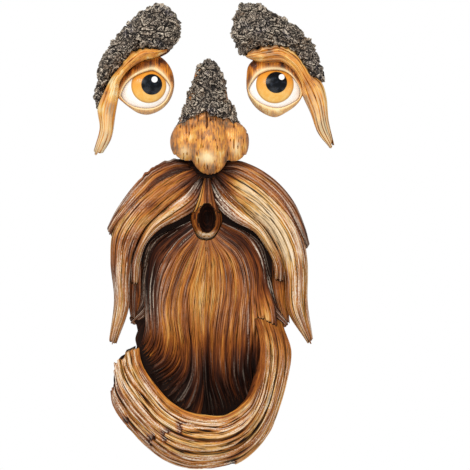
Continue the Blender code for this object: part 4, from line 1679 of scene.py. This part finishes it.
@dataclass(frozen=True)
class BowlBand:
    """The beard's lower end: a carved wall that leaves the back, swings out in front and comes back."""

    rim: Guide
    bulge: Guide
    edge: Guide
    wall: Guide
    layers: Sequence[Layer]
    thickness: float = 8.5
    bowl_middle: Sequence[float] = (205, 372, 30)
    rows: int = 190
    steps: int = 104
    broad_pitch: float = 5.6
    fine_pitch: float = 2.0

    def build(self) -> Shell:
        """Lay out the wall's outside, inside and ends.

        Returns:
            The closed surface of the band.
        """
        rows, steps = self.rows, self.steps
        guides = [curve(line, rows) for line in (self.rim, self.bulge, self.edge, self.wall)]
        outer = np.array([curve([guide[row] for guide in guides], steps) for row in range(rows)])
        across_way = np.gradient(outer, axis=1)
        along_way = np.gradient(outer, axis=0)
        normal = np.cross(along_way, across_way)
        normal /= np.linalg.norm(normal, axis=-1, keepdims=True)
        normal *= np.sign(((outer - np.array(self.bowl_middle)) * normal).sum(axis=-1, keepdims=True))
        inner = self._inside(outer, normal)
        share = np.linspace(0, 1, steps)[None, :]
        way = np.linspace(0, 1, rows)[:, None]
        across = np.cumsum(np.linalg.norm(across_way, axis=-1), axis=1).mean(axis=0)[None, :] + 0 * way
        along = np.cumsum(np.linalg.norm(along_way[:, steps // 3], axis=-1))[:, None] + 0 * share
        rim_strip = 0.040 + 0.090 * smooth_step(way, 0.60, 0.80)
        carved = smooth_step((share - rim_strip) / 0.06, -0.33, 0.67)
        height, ridge, tone = self._carving(share, way, across, along, carved)
        outer = outer + normal * height[..., None]
        self._break_end(outer, along_way, share, way, across)
        stain_and_shade, wear_and_highlight = self._paint(share, way, across, along, tone, carved)
        # The wall's inside is painted dark, darker away from the rim, as shade inside the bowl.
        inner_shade = 0.62 + 0.38 * smooth_step(share, 0.1, 0.6)
        outside = grid((rows, steps), *np.moveaxis(outer, -1, 0), ridge, stain_and_shade, wear_and_highlight, across, along)
        inside = grid((rows, steps), *np.moveaxis(inner, -1, 0), 0.5, inner_shade, 0.0, across, along)
        ring = np.concatenate([outside, inside[:, ::-3]], axis=1)
        size = ring.shape[1]
        faces = ring_faces(rows, size) + self._end_strip(0, size, True)
        faces += self._end_strip((rows - 1) * size, size, False)
        flat = ring.reshape(-1, 8)
        flow = np.stack([flat[:, 6], flat[:, 7], np.full(len(flat), 911.0)], axis=1)
        return Shell("bowl_band", flat[:, :3], faces, Paint.HAIR, flat[:, 3], flat[:, 4], flat[:, 5], flow)

    def _inside(self, outer: np.ndarray, normal: np.ndarray) -> np.ndarray:
        """The wall's inside, which closes to the back at both ends.

        Args:
            outer: Points of the outside.
            normal: Which way is outwards at each of them.

        Returns:
            Points of the inside.
        """
        inner = outer - normal * self.thickness
        from_ends = np.minimum(np.linspace(0, 7, self.rows), np.linspace(7, 0, self.rows))
        hollow = np.clip(from_ends, 0, 1)[:, None] ** 0.7
        held = np.minimum(inner[..., 2], outer[..., 2] - 4)
        inner[..., 2] = hollow * held + (1 - hollow) * -6
        return inner

    def _end_strip(self, start: int, size: int, first: bool) -> list:
        """Close one end of the wall between its outside and its inside.

        Args:
            start: Index of the end ring's first point.
            size: Points in a ring.
            first: Whether it is the first ring.

        Returns:
            The end's faces.
        """
        steps = self.steps
        inside = size - steps
        faces = []
        i, j = 0, 0
        while i < steps - 1 or j < inside - 1:
            far_i, far_j = (i + 1) / (steps - 1), (j + 1) / (inside - 1)
            if j >= inside - 1 or (i < steps - 1 and far_i <= far_j):
                face = (start + i, start + i + 1, start + size - 1 - j)
                i += 1
            else:
                face = (start + i, start + size - 2 - j, start + size - 1 - j)
                j += 1
            faces.append(face[::-1] if first else face)
        return faces

    def _carving(self, share: np.ndarray, way: np.ndarray, across: np.ndarray, along: np.ndarray,
                 carved: np.ndarray) -> tuple:
        """Strands of the wall and of the locks that overlie it, splits in them, and the plain rim.

        Args:
            share: Share of the way from the rim to the back.
            way: Share of the way along the band.
            across: Millimetres across the strands.
            along: Millimetres along the strands.
            carved: 0 on the rim's plain strip and 1 past it.

        Returns:
            The height outwards in millimetres, the ridge channel, and the added darkness with the painted end
            shadows.
        """
        height, ridge, tone = 0.0, 0.0, 0.0
        whole_wall = Layer((-1, 2), (-1, 2), 0.0)
        for index, layer in enumerate((whole_wall, *self.layers)):
            seed = 71 + 7 * index
            swept = across + layer.skew * along
            broad = strands(swept, along, self.broad_pitch, seed, 1.1)
            narrow = strands(swept, along, self.fine_pitch, seed + 40, 0.8)
            cover, shadow = layer.cover(share, way, across, seed)
            border = 4 * cover * (1 - cover) if index else 0.0
            raised = layer.height - 2.4 * (1 - broad) - 1.0 * (1 - narrow)
            crest = np.clip(0.46 * broad + 0.54 * narrow - 0.03, 0, 1) * (1 - 0.80 * border)
            height = height * (1 - cover) + raised * cover
            ridge = ridge * (1 - cover) + crest * cover
            # Past each overlying lock's blunt end, a painted shadow darkens the wall.
            tone = tone * (1 - cover) + layer.stain_and_shade * cover + 0.5 * shadow * (index > 0)
        split = smooth_step(noise(across / 1.5, along / 36, 97), 0.72, 0.90) * smooth_step(way, 0.85, 0.60)
        rim_bead = 0.9 * hump(share, 0.05, 0.04)
        run_out = smooth_step(way, 0.985, 0.92)
        height = ((height - 1.0 * split) * carved + rim_bead) * run_out
        ridge = ridge * (1 - 0.70 * split) * run_out + 0.62 * (1 - run_out)
        ridge = ridge * carved + (1 - carved) * (0.55 + 0.3 * strands(across, along, 1.9, 77))
        return height, ridge, tone + 0.10 * split

    def _break_end(self, outer: np.ndarray, along_way: np.ndarray, share: np.ndarray, way: np.ndarray,
                   across: np.ndarray) -> None:
        """Let the strands of the free end stop at unlike places, with a step in the middle.

        Args:
            outer: Points of the outside, changed in place.
            along_way: Steps along the band at each of them.
            share: Share of the way from the rim to the back.
            way: Share of the way along the band.
            across: Millimetres across the strands.
        """
        tangent = along_way / np.linalg.norm(along_way, axis=-1, keepdims=True)
        ragged = 3.4 * (2 * lattice(np.floor(across / 4.6), 0 * across, 83) - 1) * (share < 0.75)
        outer -= tangent * (ragged * smooth_step(way, 0.06, 0.0))[..., None]
        outer[..., 0] += 5.5 * hump(share, 0.54, 0.09) * smooth_step(way, 0.055, 0.015)

    def _paint(self, share: np.ndarray, way: np.ndarray, across: np.ndarray, along: np.ndarray,
               tone: np.ndarray, carved: np.ndarray) -> tuple:
        """Staining, painted shadows past the lock ends, and dry brushing of the outside.

        Args:
            share: Share of the way from the rim to the back.
            way: Share of the way along the band.
            across: Millimetres across the strands.
            along: Millimetres along the strands.
            tone: What the locks add to the darkness, painted shadows past their ends included.
            carved: 0 on the rim's plain strip and 1 past it.

        Returns:
            The darkness, from staining and painted shade, and the brushing of each point.
        """
        lower_lock = smooth_step(share, 0.54, 0.60) * smooth_step(way, 0.24, 0.14)
        stain_and_shade = 0.31 + tone + 0.24 * smooth_step(way, 0.25, 0.0) * smooth_step(share, 0.3, 0.6)
        stain_and_shade = stain_and_shade + (1 - carved) * (0.06 + 0.14 * smooth_step(way, 0.55, 0.80))
        stain_and_shade = stain_and_shade + 0.10 * smooth_step(way, 0.88, 0.96) + 0.04 * lower_lock
        patches = smooth_step(noise(across / 12, along / 50, 87), 0.2, 0.7)
        brushed = 0.70 + 0.50 * patches + 0.4 * smooth_step(way, 0.3, 0.0)
        return stain_and_shade, carved * brushed * smooth_step(way, 1.0, 0.70) * (1 - 0.75 * lower_lock)


@dataclass(frozen=True)
class BeardFall:
    """Hair below the mouth that follows a family of guide strands."""

    name: str
    family: Sequence[Guide]
    outer_first: bool
    side_shade: float
    seed: int
    crest: Sequence[float] = (25, 24, 23, 21, 19, 17, 13, 13)
    rows: int = 112
    cols: int = 150
    length: float = 215.0

    def build(self) -> Shell:
        """Lay out the patch of hair.

        Returns:
            The closed surface of the patch.
        """
        guide = np.array([curve(line, self.rows) for line in self.family])
        plan = np.array([curve(guide[:, row], self.cols) for row in range(self.rows)])
        share = np.linspace(0, 1, self.cols)[None, :]
        way = np.linspace(0, 1, self.rows)[:, None]
        width = np.linalg.norm(np.diff(plan, axis=1), axis=-1).sum(axis=1).max()
        across = share * width * 0.85 + SEED_STEP * self.seed + 0 * way
        along = way * self.length + 0 * share
        broad = strands(across, along, 4.6, self.seed, 1.2)
        narrow = strands(across, along, 2.1, self.seed + 9, 0.8)
        from_side = share if self.outer_first else 1 - share
        drop = 9.0 * np.clip(1 - 1.6 * way, 0, 1) * np.clip(1 - from_side / 0.42, 0, 1) ** 1.5
        carved = smooth_step(way, 0.0, 0.14) * smooth_step(way, 0.97, 0.84)
        groove = 1.3 + 1.3 * smooth_step(way, 0.50, 0.75)
        cuts = carved * (groove * (1 - broad) + 0.85 * (1 - narrow))
        out = profile(self.crest, self.rows)[:, None] - drop - cuts
        ridge = np.clip(0.34 * broad + 0.66 * narrow, 0, 1) * smooth_step(way, 1.1, 0.8)
        stain_and_shade, wear_and_highlight = self._paint(plan[..., 0], plan[..., 1])
        # Mask of the painted shade down each half's outer side, under the moustache's overhanging edge.
        shaded_side = smooth_step(from_side, 0.34, 0.10) * smooth_step(way, 0.72, 0.42)
        pale = smooth_step(noise(across / 1.9, along / 60, self.seed + 27), 0.62, 0.80)
        mottle = 0.2 * (noise(across / 7, along / 45, self.seed + 21) - 0.5)
        # Darker at the lower end, deep in the bowl, and on the shaded outer side: both painted shade; the
        # mottle is random.
        stain_and_shade = stain_and_shade + 0.40 * smooth_step(way, 0.80, 0.95) + self.side_shade * shaded_side + mottle
        wear_and_highlight = wear_and_highlight + 0.13 * pale * smooth_step(plan[..., 1], 342, 362) * smooth_step(way, 0.95, 0.85)
        wear_and_highlight = wear_and_highlight * (1 - shaded_side) + 0.85 * shaded_side * pale
        stain_and_shade = np.clip(stain_and_shade, 0, 1)
        return relief(self.name, plan, out, Paint.HAIR, ridge, stain_and_shade, wear_and_highlight, across, along, self.seed)

    def _paint(self, across: np.ndarray, down: np.ndarray) -> tuple:
        """Staining, painted shade and dry brushing by place on the drawing.

        Args:
            across: First drawing coordinate.
            down: Second drawing coordinate.

        Returns:
            The darkness, from staining and painted shade, and the brushing of each point.
        """
        aside = np.abs(across - DRAWING_CENTRE[0]) / 60
        near_rim = smooth_step(np.abs(across - 201), 26, 50)
        stain_and_shade = 0.45 + 0.26 * smooth_step(aside, 0.70, 1.05) * smooth_step(down, 350, 300)
        # Darker just under the mouth; lower down, painted shade deep in the bowl, starting higher towards the
        # sides.
        stain_and_shade += 0.14 * smooth_step(down, 262, 236) + 0.43 * smooth_step(down + 24 * near_rim, 336, 396)
        stain_and_shade -= 0.10 * hump(aside, 0.0, 0.25) * smooth_step(down, 335, 300)
        # Painted shade in the deep parting down the middle of the lower beard.
        stain_and_shade += 0.28 * hump(across, 207, 3.5) * smooth_step(down, 315, 350)
        # Lighter patches; the last is a painted highlight on the lit end of the left swirl.
        for middle, reach, lighter in (
            ((257, 325), (7, 22), 0.14),
            ((266, 312), (10, 20), 0.34),
            ((170, 325), (14, 22), 0.10),
            ((149, 357), (7, 7), 0.30),
        ):
            stain_and_shade -= lighter * spot(across, down, middle, reach)
        wear_and_highlight = (0.14 + 0.16 * smooth_step(aside, 0.5, 0.9)) * smooth_step(down, 345, 310)
        return stain_and_shade, wear_and_highlight


@dataclass
class BeardBowl(Casting):
    """Moustache, mouth, beard and bowl in one casting."""

    flick_crest: Sequence[float] = (18, 18, 17, 15, 9)
    flick_wear: Sequence[float] = (0.3, 0.4, 0.4, 0.4, 0.5)
    under_crest: Sequence[float] = (22, 19, 11)
    outer_crest: Sequence[float] = (22, 27, 31, 34, 34, 31, 23)
    long_crest: Sequence[float] = (22, 29, 36, 41, 42, 39, 31, 17)
    short_crest: Sequence[float] = (20, 26, 31, 34, 35, 33, 27)
    mouth_at: Sequence[float] = (207, 217.8, 40)
    mouth_radii: Sequence[float] = (9.3, 17.0, 28)

    def carve(self) -> None:
        """Make the backing, the beard, the bowl's wall, the moustache and the mouth."""
        self._backing()
        self._fall()
        self._band()
        self._under_locks()
        self._outer_locks()
        self._long_locks()
        self._short_locks()
        self._mouth()

    def _backing(self) -> None:
        """Plates behind the hair."""
        behind_beard = [(207, 172), (172, 176), (142, 200), (126, 235), (124, 290), (131, 312), (137, 330),
                        (137, 349), (124, 368), (126, 396), (150, 427), (190, 449), (232, 443), (264, 410),
                        (282, 350), (284, 318), (296, 300), (292, 235), (272, 200), (242, 176)]
        behind_bowl = [(207, 300), (160, 310), (141, 326), (135, 338), (136, 348.5), (128, 353), (119.5, 358),
                       (115, 368), (114, 386), (128, 402), (152, 428), (190, 448), (232, 442), (262, 410),
                       (280, 350), (278, 322), (250, 308)]
        self.add(Plate("beard_back", behind_beard, 9.0), Plate("bowl_back", behind_bowl, 12.7))

    def _fall(self) -> None:
        """The two halves of the beard's front and their upswept ends."""
        left = [
            [(190, 221), (172, 230), (153, 246), (146, 272), (144, 299), (145, 325), (140, 345), (133, 352)],
            [(196, 236), (180, 256), (168, 285), (164, 310), (166, 335), (162, 356), (150, 366), (136, 366)],
            [(201, 240), (192, 262), (182, 290), (180, 320), (183, 348), (178, 370), (160, 384), (146, 384)],
            [(208, 241), (206, 265), (204, 290), (202, 320), (203, 350), (205, 390), (195, 425), (170, 425)],
        ]
        right = [
            [(205, 241), (205, 265), (203, 290), (201, 320), (202, 350), (204, 390), (208, 420), (212, 440)],
            [(211, 240), (220, 262), (222, 290), (218, 320), (216, 350), (218, 380), (226, 405), (230, 430)],
            [(216, 236), (236, 256), (244, 285), (242, 315), (240, 345), (240, 375), (246, 400), (250, 420)],
            [(223, 222), (247, 234), (262, 255), (268, 285), (276, 312), (276, 340), (272, 375), (266, 400)],
        ]
        self.add(
            BeardFall("left_fall", left, True, 0.27, 41),
            BeardFall("right_fall", right, False, 0.18, 43),
            # The upswept ends fill the gap inside the moustache's long locks; their dark is painted shade
            # there.
            Lock("left_flick", [(174, 227), (150, 242), (141, 271), (138, 301), (129, 318)],
                 [(184, 236), (168, 258), (160, 285), (156, 308), (135, 325)], self.flick_crest,
                 (0.9, 0.85, 0.75, 0.7, 0.6), self.flick_wear, tip=2.0, ragged=1.0, seed=45),
            Lock("right_flick", [(238, 227), (261, 243), (272, 278), (279, 305), (289, 320)],
                 [(228, 236), (246, 258), (254, 285), (262, 308), (284, 328)], self.flick_crest,
                 (0.9, 0.85, 0.75, 0.6, 0.5), self.flick_wear, tip=2.0, ragged=1.0, seed=47),
        )

    def _band(self) -> None:
        """The bowl's wall and the locks on it."""
        rim = [(139, 349, 22), (141, 361, 36), (147, 373, 52), (157, 386, 67), (170, 400, 81), (187, 410, 91),
               (204, 413.5, 95), (222, 414.5, 94), (238, 407, 86), (250, 395, 72), (257, 378, 57),
               (260, 362, 44), (260, 346, 34), (257, 328, 24), (250, 306, 11)]
        bulge = [(115, 363, 38), (122, 384, 54), (133, 401, 69), (146, 416, 82), (160, 429, 93),
                 (178, 439, 100), (197, 444, 102), (218, 444, 101), (237, 438, 95), (252, 425, 83),
                 (263, 406, 67), (270, 382, 51), (274, 357, 39), (272, 337, 27), (263, 306, 9)]
        edge = [(109, 390, 24), (112, 405, 30), (121, 420, 36), (134, 434.5, 42), (148, 448, 48),
                (166, 461, 53), (189, 468.5, 56), (214, 467.5, 56), (236, 461.5, 52), (253, 449.5, 46),
                (268, 431, 38), (279, 404, 31), (287, 375, 25), (289, 349, 20), (281, 317, 6)]
        behind = [(118, 386), (123, 399), (132, 411), (143, 423), (156, 435), (172, 446), (190, 452),
                  (212, 452), (232, 446), (247, 435), (260, 418), (271, 395), (280, 371), (284, 348),
                  (277, 324)]
        layers = (
            Layer((0.50, 0.66), (0.15, 0.60), 1.2, 0.10, 0.02),
            Layer((0.10, 0.27), (-0.1, 0.42), 0.7, -0.06, -0.02),
            Layer((0.25, 0.43), (0.30, 1.1), 1.4, -0.04, 0.03),
            Layer((0.40, 0.56), (0.265, 1.1), 2.6, 0.04, 0.02),
            Layer((0.54, 0.70), (0.545, 1.1), 2.6, -0.02, 0.01),
            Layer((0.10, 0.27), (0.345, 1.1), 2.5, 0.02, 0.02),
        )
        wall = [(across, down, -5) for across, down in behind]
        self.add(BowlBand(rim, bulge, edge, wall, layers))

    def _under_locks(self) -> None:
        """Hair at the root of the moustache and behind the ends of its locks."""
        # The root under the nose is painted near black, as shade under the nose.
        root_shade = (0.9, 0.95, 1.0, 0.95, 0.9)
        self.add(
            Lock("root", [(174, 161), (190, 160), (207, 159.5), (224, 160), (240, 162)],
                 [(184, 186), (195, 182), (207, 180), (219, 182), (230, 186)], (17, 20, 21, 20, 17),
                 root_shade, (0.0, 0.0), side=0.8, groove=1.0, seed=60),
            Lock("left_under", [(126, 262), (126, 290), (130, 318)], [(141, 262), (141, 295), (137, 322)],
                 self.under_crest, (0.66, 0.62, 0.6), (0.1, 0.1, 0.3), seed=51),
            Lock("right_under", [(272, 262), (273, 290), (281, 316)], [(288, 262), (288, 295), (290, 324)],
                 self.under_crest, (0.66, 0.62, 0.6), (0.1, 0.1, 0.3), seed=52),
        )

    def _outer_locks(self) -> None:
        """The moustache's locks that spread to both sides."""
        # The darkness profiles start near black at the root, as painted shade under the nose.
        self.add(
            Lock("left_outer",
                 [(186, 160), (172, 159), (153, 166), (140, 178), (128, 192), (115, 211), (107, 227)],
                 [(194, 176), (178, 178), (158, 190), (147, 203), (136, 214), (124, 226), (112, 237)],
                 self.outer_crest, (0.92, 0.75, 0.60, 0.54, 0.50, 0.46, 0.46),
                 (0.0, 0.2, 0.35, 0.4, 0.5, 0.6), tip=1.0, ragged=1.2, wavy=2.5,
                 spots=((128, 203, 8, 0.22), (118, 216, 6, 0.16)), seed=53),
            Lock("right_outer",
                 [(228, 160), (242, 161), (262, 170), (280, 184), (295, 203), (305, 226), (310, 244)],
                 [(220, 176), (234, 178), (252, 190), (266, 203), (280, 220), (292, 236), (303, 250)],
                 self.outer_crest, (0.92, 0.62, 0.50, 0.56, 0.62, 0.68, 0.70),
                 (0.0, 0.2, 0.3, 0.32, 0.32, 0.36), tip=1.0, ragged=1.2, seed=54),
        )

    def _long_locks(self) -> None:
        """The moustache's long locks, which hang down past the mouth."""
        left_spots = ((172, 187, 11, -0.12), (141, 221, 11, -0.20), (133, 207, 9, 0.26), (150, 205, 6, 0.14),
                      (120, 240, 8, 0.12))
        # The darkness profiles start near black at the root, as painted shade under the nose.
        self.add(
            Lock("left_long",
                 [(190, 165), (172, 169), (150, 184), (130, 205), (113, 230), (110, 262), (113.5, 300),
                  (108.5, 340)],
                 [(201, 180), (181, 198), (161, 214), (144, 230), (134, 252), (130, 280), (128, 310),
                  (116, 344)],
                 self.long_crest, (0.9, 0.50, 0.31, 0.32, 0.40, 0.42, 0.44, 0.48),
                 (0.0, 0.1, 0.14, 0.3, 0.5, 0.65, 0.7, 0.65), tip=2.0, ragged=1.5, spots=left_spots, seed=55),
            Lock("right_long",
                 [(224, 165), (244, 171), (267, 187), (290, 212), (303, 237), (308, 264), (308, 302),
                  (313, 337)],
                 [(213, 180), (231, 201), (252, 217), (269, 233), (281, 257), (285, 280), (288, 312),
                  (306, 341)],
                 self.long_crest, (0.9, 0.36, 0.22, 0.19, 0.23, 0.26, 0.28, 0.36),
                 (0.0, 0.15, 0.36, 0.45, 0.65, 0.9, 0.9, 0.8), tip=2.0, ragged=4.0, seed=56),
        )

    def _short_locks(self) -> None:
        """The moustache's short locks beside the mouth."""
        # The darkness profiles start near black at the root, as painted shade under the nose.
        self.add(
            Lock("left_short",
                 [(199, 170), (184, 190), (165, 207), (148, 224), (137, 245), (130, 264), (130, 284)],
                 [(206, 190), (198, 207), (178, 220), (160, 229), (146, 244), (140, 263), (138, 284)],
                 self.short_crest, (0.95, 0.6, 0.42, 0.35, 0.4, 0.42, 0.4),
                 (0.0, 0.7, 0.85, 0.5, 0.4, 0.55, 0.6), edge_wear=0.4, ragged=1.0, rounded=0.04, seed=57),
            Lock("right_short",
                 [(215, 170), (231, 191), (249, 209), (266, 229), (278, 250), (285, 266), (284, 281)],
                 [(208, 190), (215, 205), (233, 221), (254, 232), (267, 250), (273, 264), (275, 281)],
                 self.short_crest, (0.95, 0.52, 0.29, 0.25, 0.28, 0.34, 0.36),
                 (0.0, 0.8, 0.9, 0.6, 0.5, 0.7, 0.8), edge_wear=0.4, ragged=1.0, rounded=0.04, seed=58),
        )

    def _mouth(self) -> None:
        """Lips about a blind round mouth."""
        self.add(
            Lips("lips", (206.3, 219, 8), (16, 22, 24), Paint.HAIR),
            Lock("lip_arch", [(204, 178), (199, 196), (193, 214)], [(210, 178), (214, 196), (220, 214)],
                 (21, 26, 27), (0.62, 0.40, 0.46), (0.1, 0.1, 0.1), side=0.8, groove=0.4, fine=0.2, seed=59),
        )
        # The blind mouth's inside is painted black, as shade in the hole.
        self.cut(Ball("mouth", self.mouth_at, self.mouth_radii, Paint.HAIR, 1.0, 0.0).build())


# Stage


def build_stage() -> None:
    """Set up the camera, the lights, the floor and the world."""
    camera_data = bpy.data.cameras.new("camera")
    camera = bpy.data.objects.new("camera", camera_data)
    bpy.context.scene.collection.objects.link(camera)
    camera.location = (0.028, -VIEW_DISTANCE - 0.045, -0.035)
    camera.rotation_euler = (math.radians(90), 0, 0)
    camera_data.sensor_width = SENSOR_WIDTH
    camera_data.lens = SENSOR_WIDTH * VIEW_DISTANCE / VIEW_WIDTH
    camera_data.clip_end = 50.0
    bpy.context.scene.camera = camera

    for name, place_at, aim, size, power in (
        ("key", (-0.8, -1.5, 1.5), (0.0, 0.0, -0.05), 0.8, 30.0),
        ("fill", (1.4, -1.6, -0.1), (0.0, 0.0, -0.05), 1.2, 10.0),
        ("front", (0.0, -2.4, 0.1), (0.0, 0.0, -0.05), 1.0, 10.0),
    ):
        light_data = bpy.data.lights.new(name, "AREA")
        light_data.size = size
        light_data.energy = power
        light = bpy.data.objects.new(name, light_data)
        light.location = place_at
        light.rotation_euler = (Vector(aim) - Vector(place_at)).to_track_quat("-Z", "Y").to_euler()
        bpy.context.scene.collection.objects.link(light)

    world = bpy.data.worlds.new("studio")
    world.use_nodes = True
    tree = world.node_tree
    seen = tree.nodes["Background"]
    seen.inputs["Color"].default_value = (1.0, 1.0, 1.0, 1.0)
    lighting = tree.nodes.new("ShaderNodeBackground")
    lighting.inputs["Color"].default_value = (1.0, 0.98, 0.95, 1.0)
    lighting.inputs["Strength"].default_value = 0.50
    choice = tree.nodes.new("ShaderNodeMixShader")
    rays = tree.nodes.new("ShaderNodeLightPath")
    tree.links.new(rays.outputs["Is Camera Ray"], choice.inputs["Fac"])
    tree.links.new(lighting.outputs["Background"], choice.inputs[1])
    tree.links.new(seen.outputs["Background"], choice.inputs[2])
    tree.links.new(choice.outputs["Shader"], tree.nodes["World Output"].inputs["Surface"])
    bpy.context.scene.world = world
    bpy.context.scene.view_settings.view_transform = "Standard"

    bpy.ops.mesh.primitive_plane_add(size=1.6, location=(0.03, 0.0, -0.42))
    floor = bpy.context.object
    floor.name = "studio_floor"
    sheet = Sheet("studio_floor")
    floor.data.materials.append(sheet.shade((0.9, 0.9, 0.9), 0.8))


def main() -> None:
    """Build the face, then its stage."""
    logging.basicConfig(level=logging.INFO, format="%(message)s")
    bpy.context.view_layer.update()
    left_look = EyeFinish((148.5, 85), 17.7, (151.5, 84), 10.5, (154.3, 79), 3.0)
    right_look = EyeFinish((275, 84), 19.0, (276.5, 82), 10.8, (281.8, 76.5), 2.9)
    materials = {
        Paint.HAIR: hair_material(HairFinish()),
        Paint.WOOD: wood_material(WoodFinish()),
        Paint.BARK: bark_material(BarkFinish()),
        Paint.LEFT_EYEBALL: eye_material("left_eyeball", left_look),
        Paint.RIGHT_EYEBALL: eye_material("right_eyeball", right_look),
        Paint.BACK: back_material(),
    }
    shop = Workshop(materials)
    for casting in (
        Eye("left_eye", shop, (146, 66), design=LEFT_EYE),
        Eye("right_eye", shop, (276, 66), design=RIGHT_EYE),
        Nose("nose", shop, (207, 92), lift=0.5),
        BeardBowl("beard_bowl", shop, (207, 238)),
    ):
        casting.build()
    build_stage()


if __name__ == "__main__":
    main()
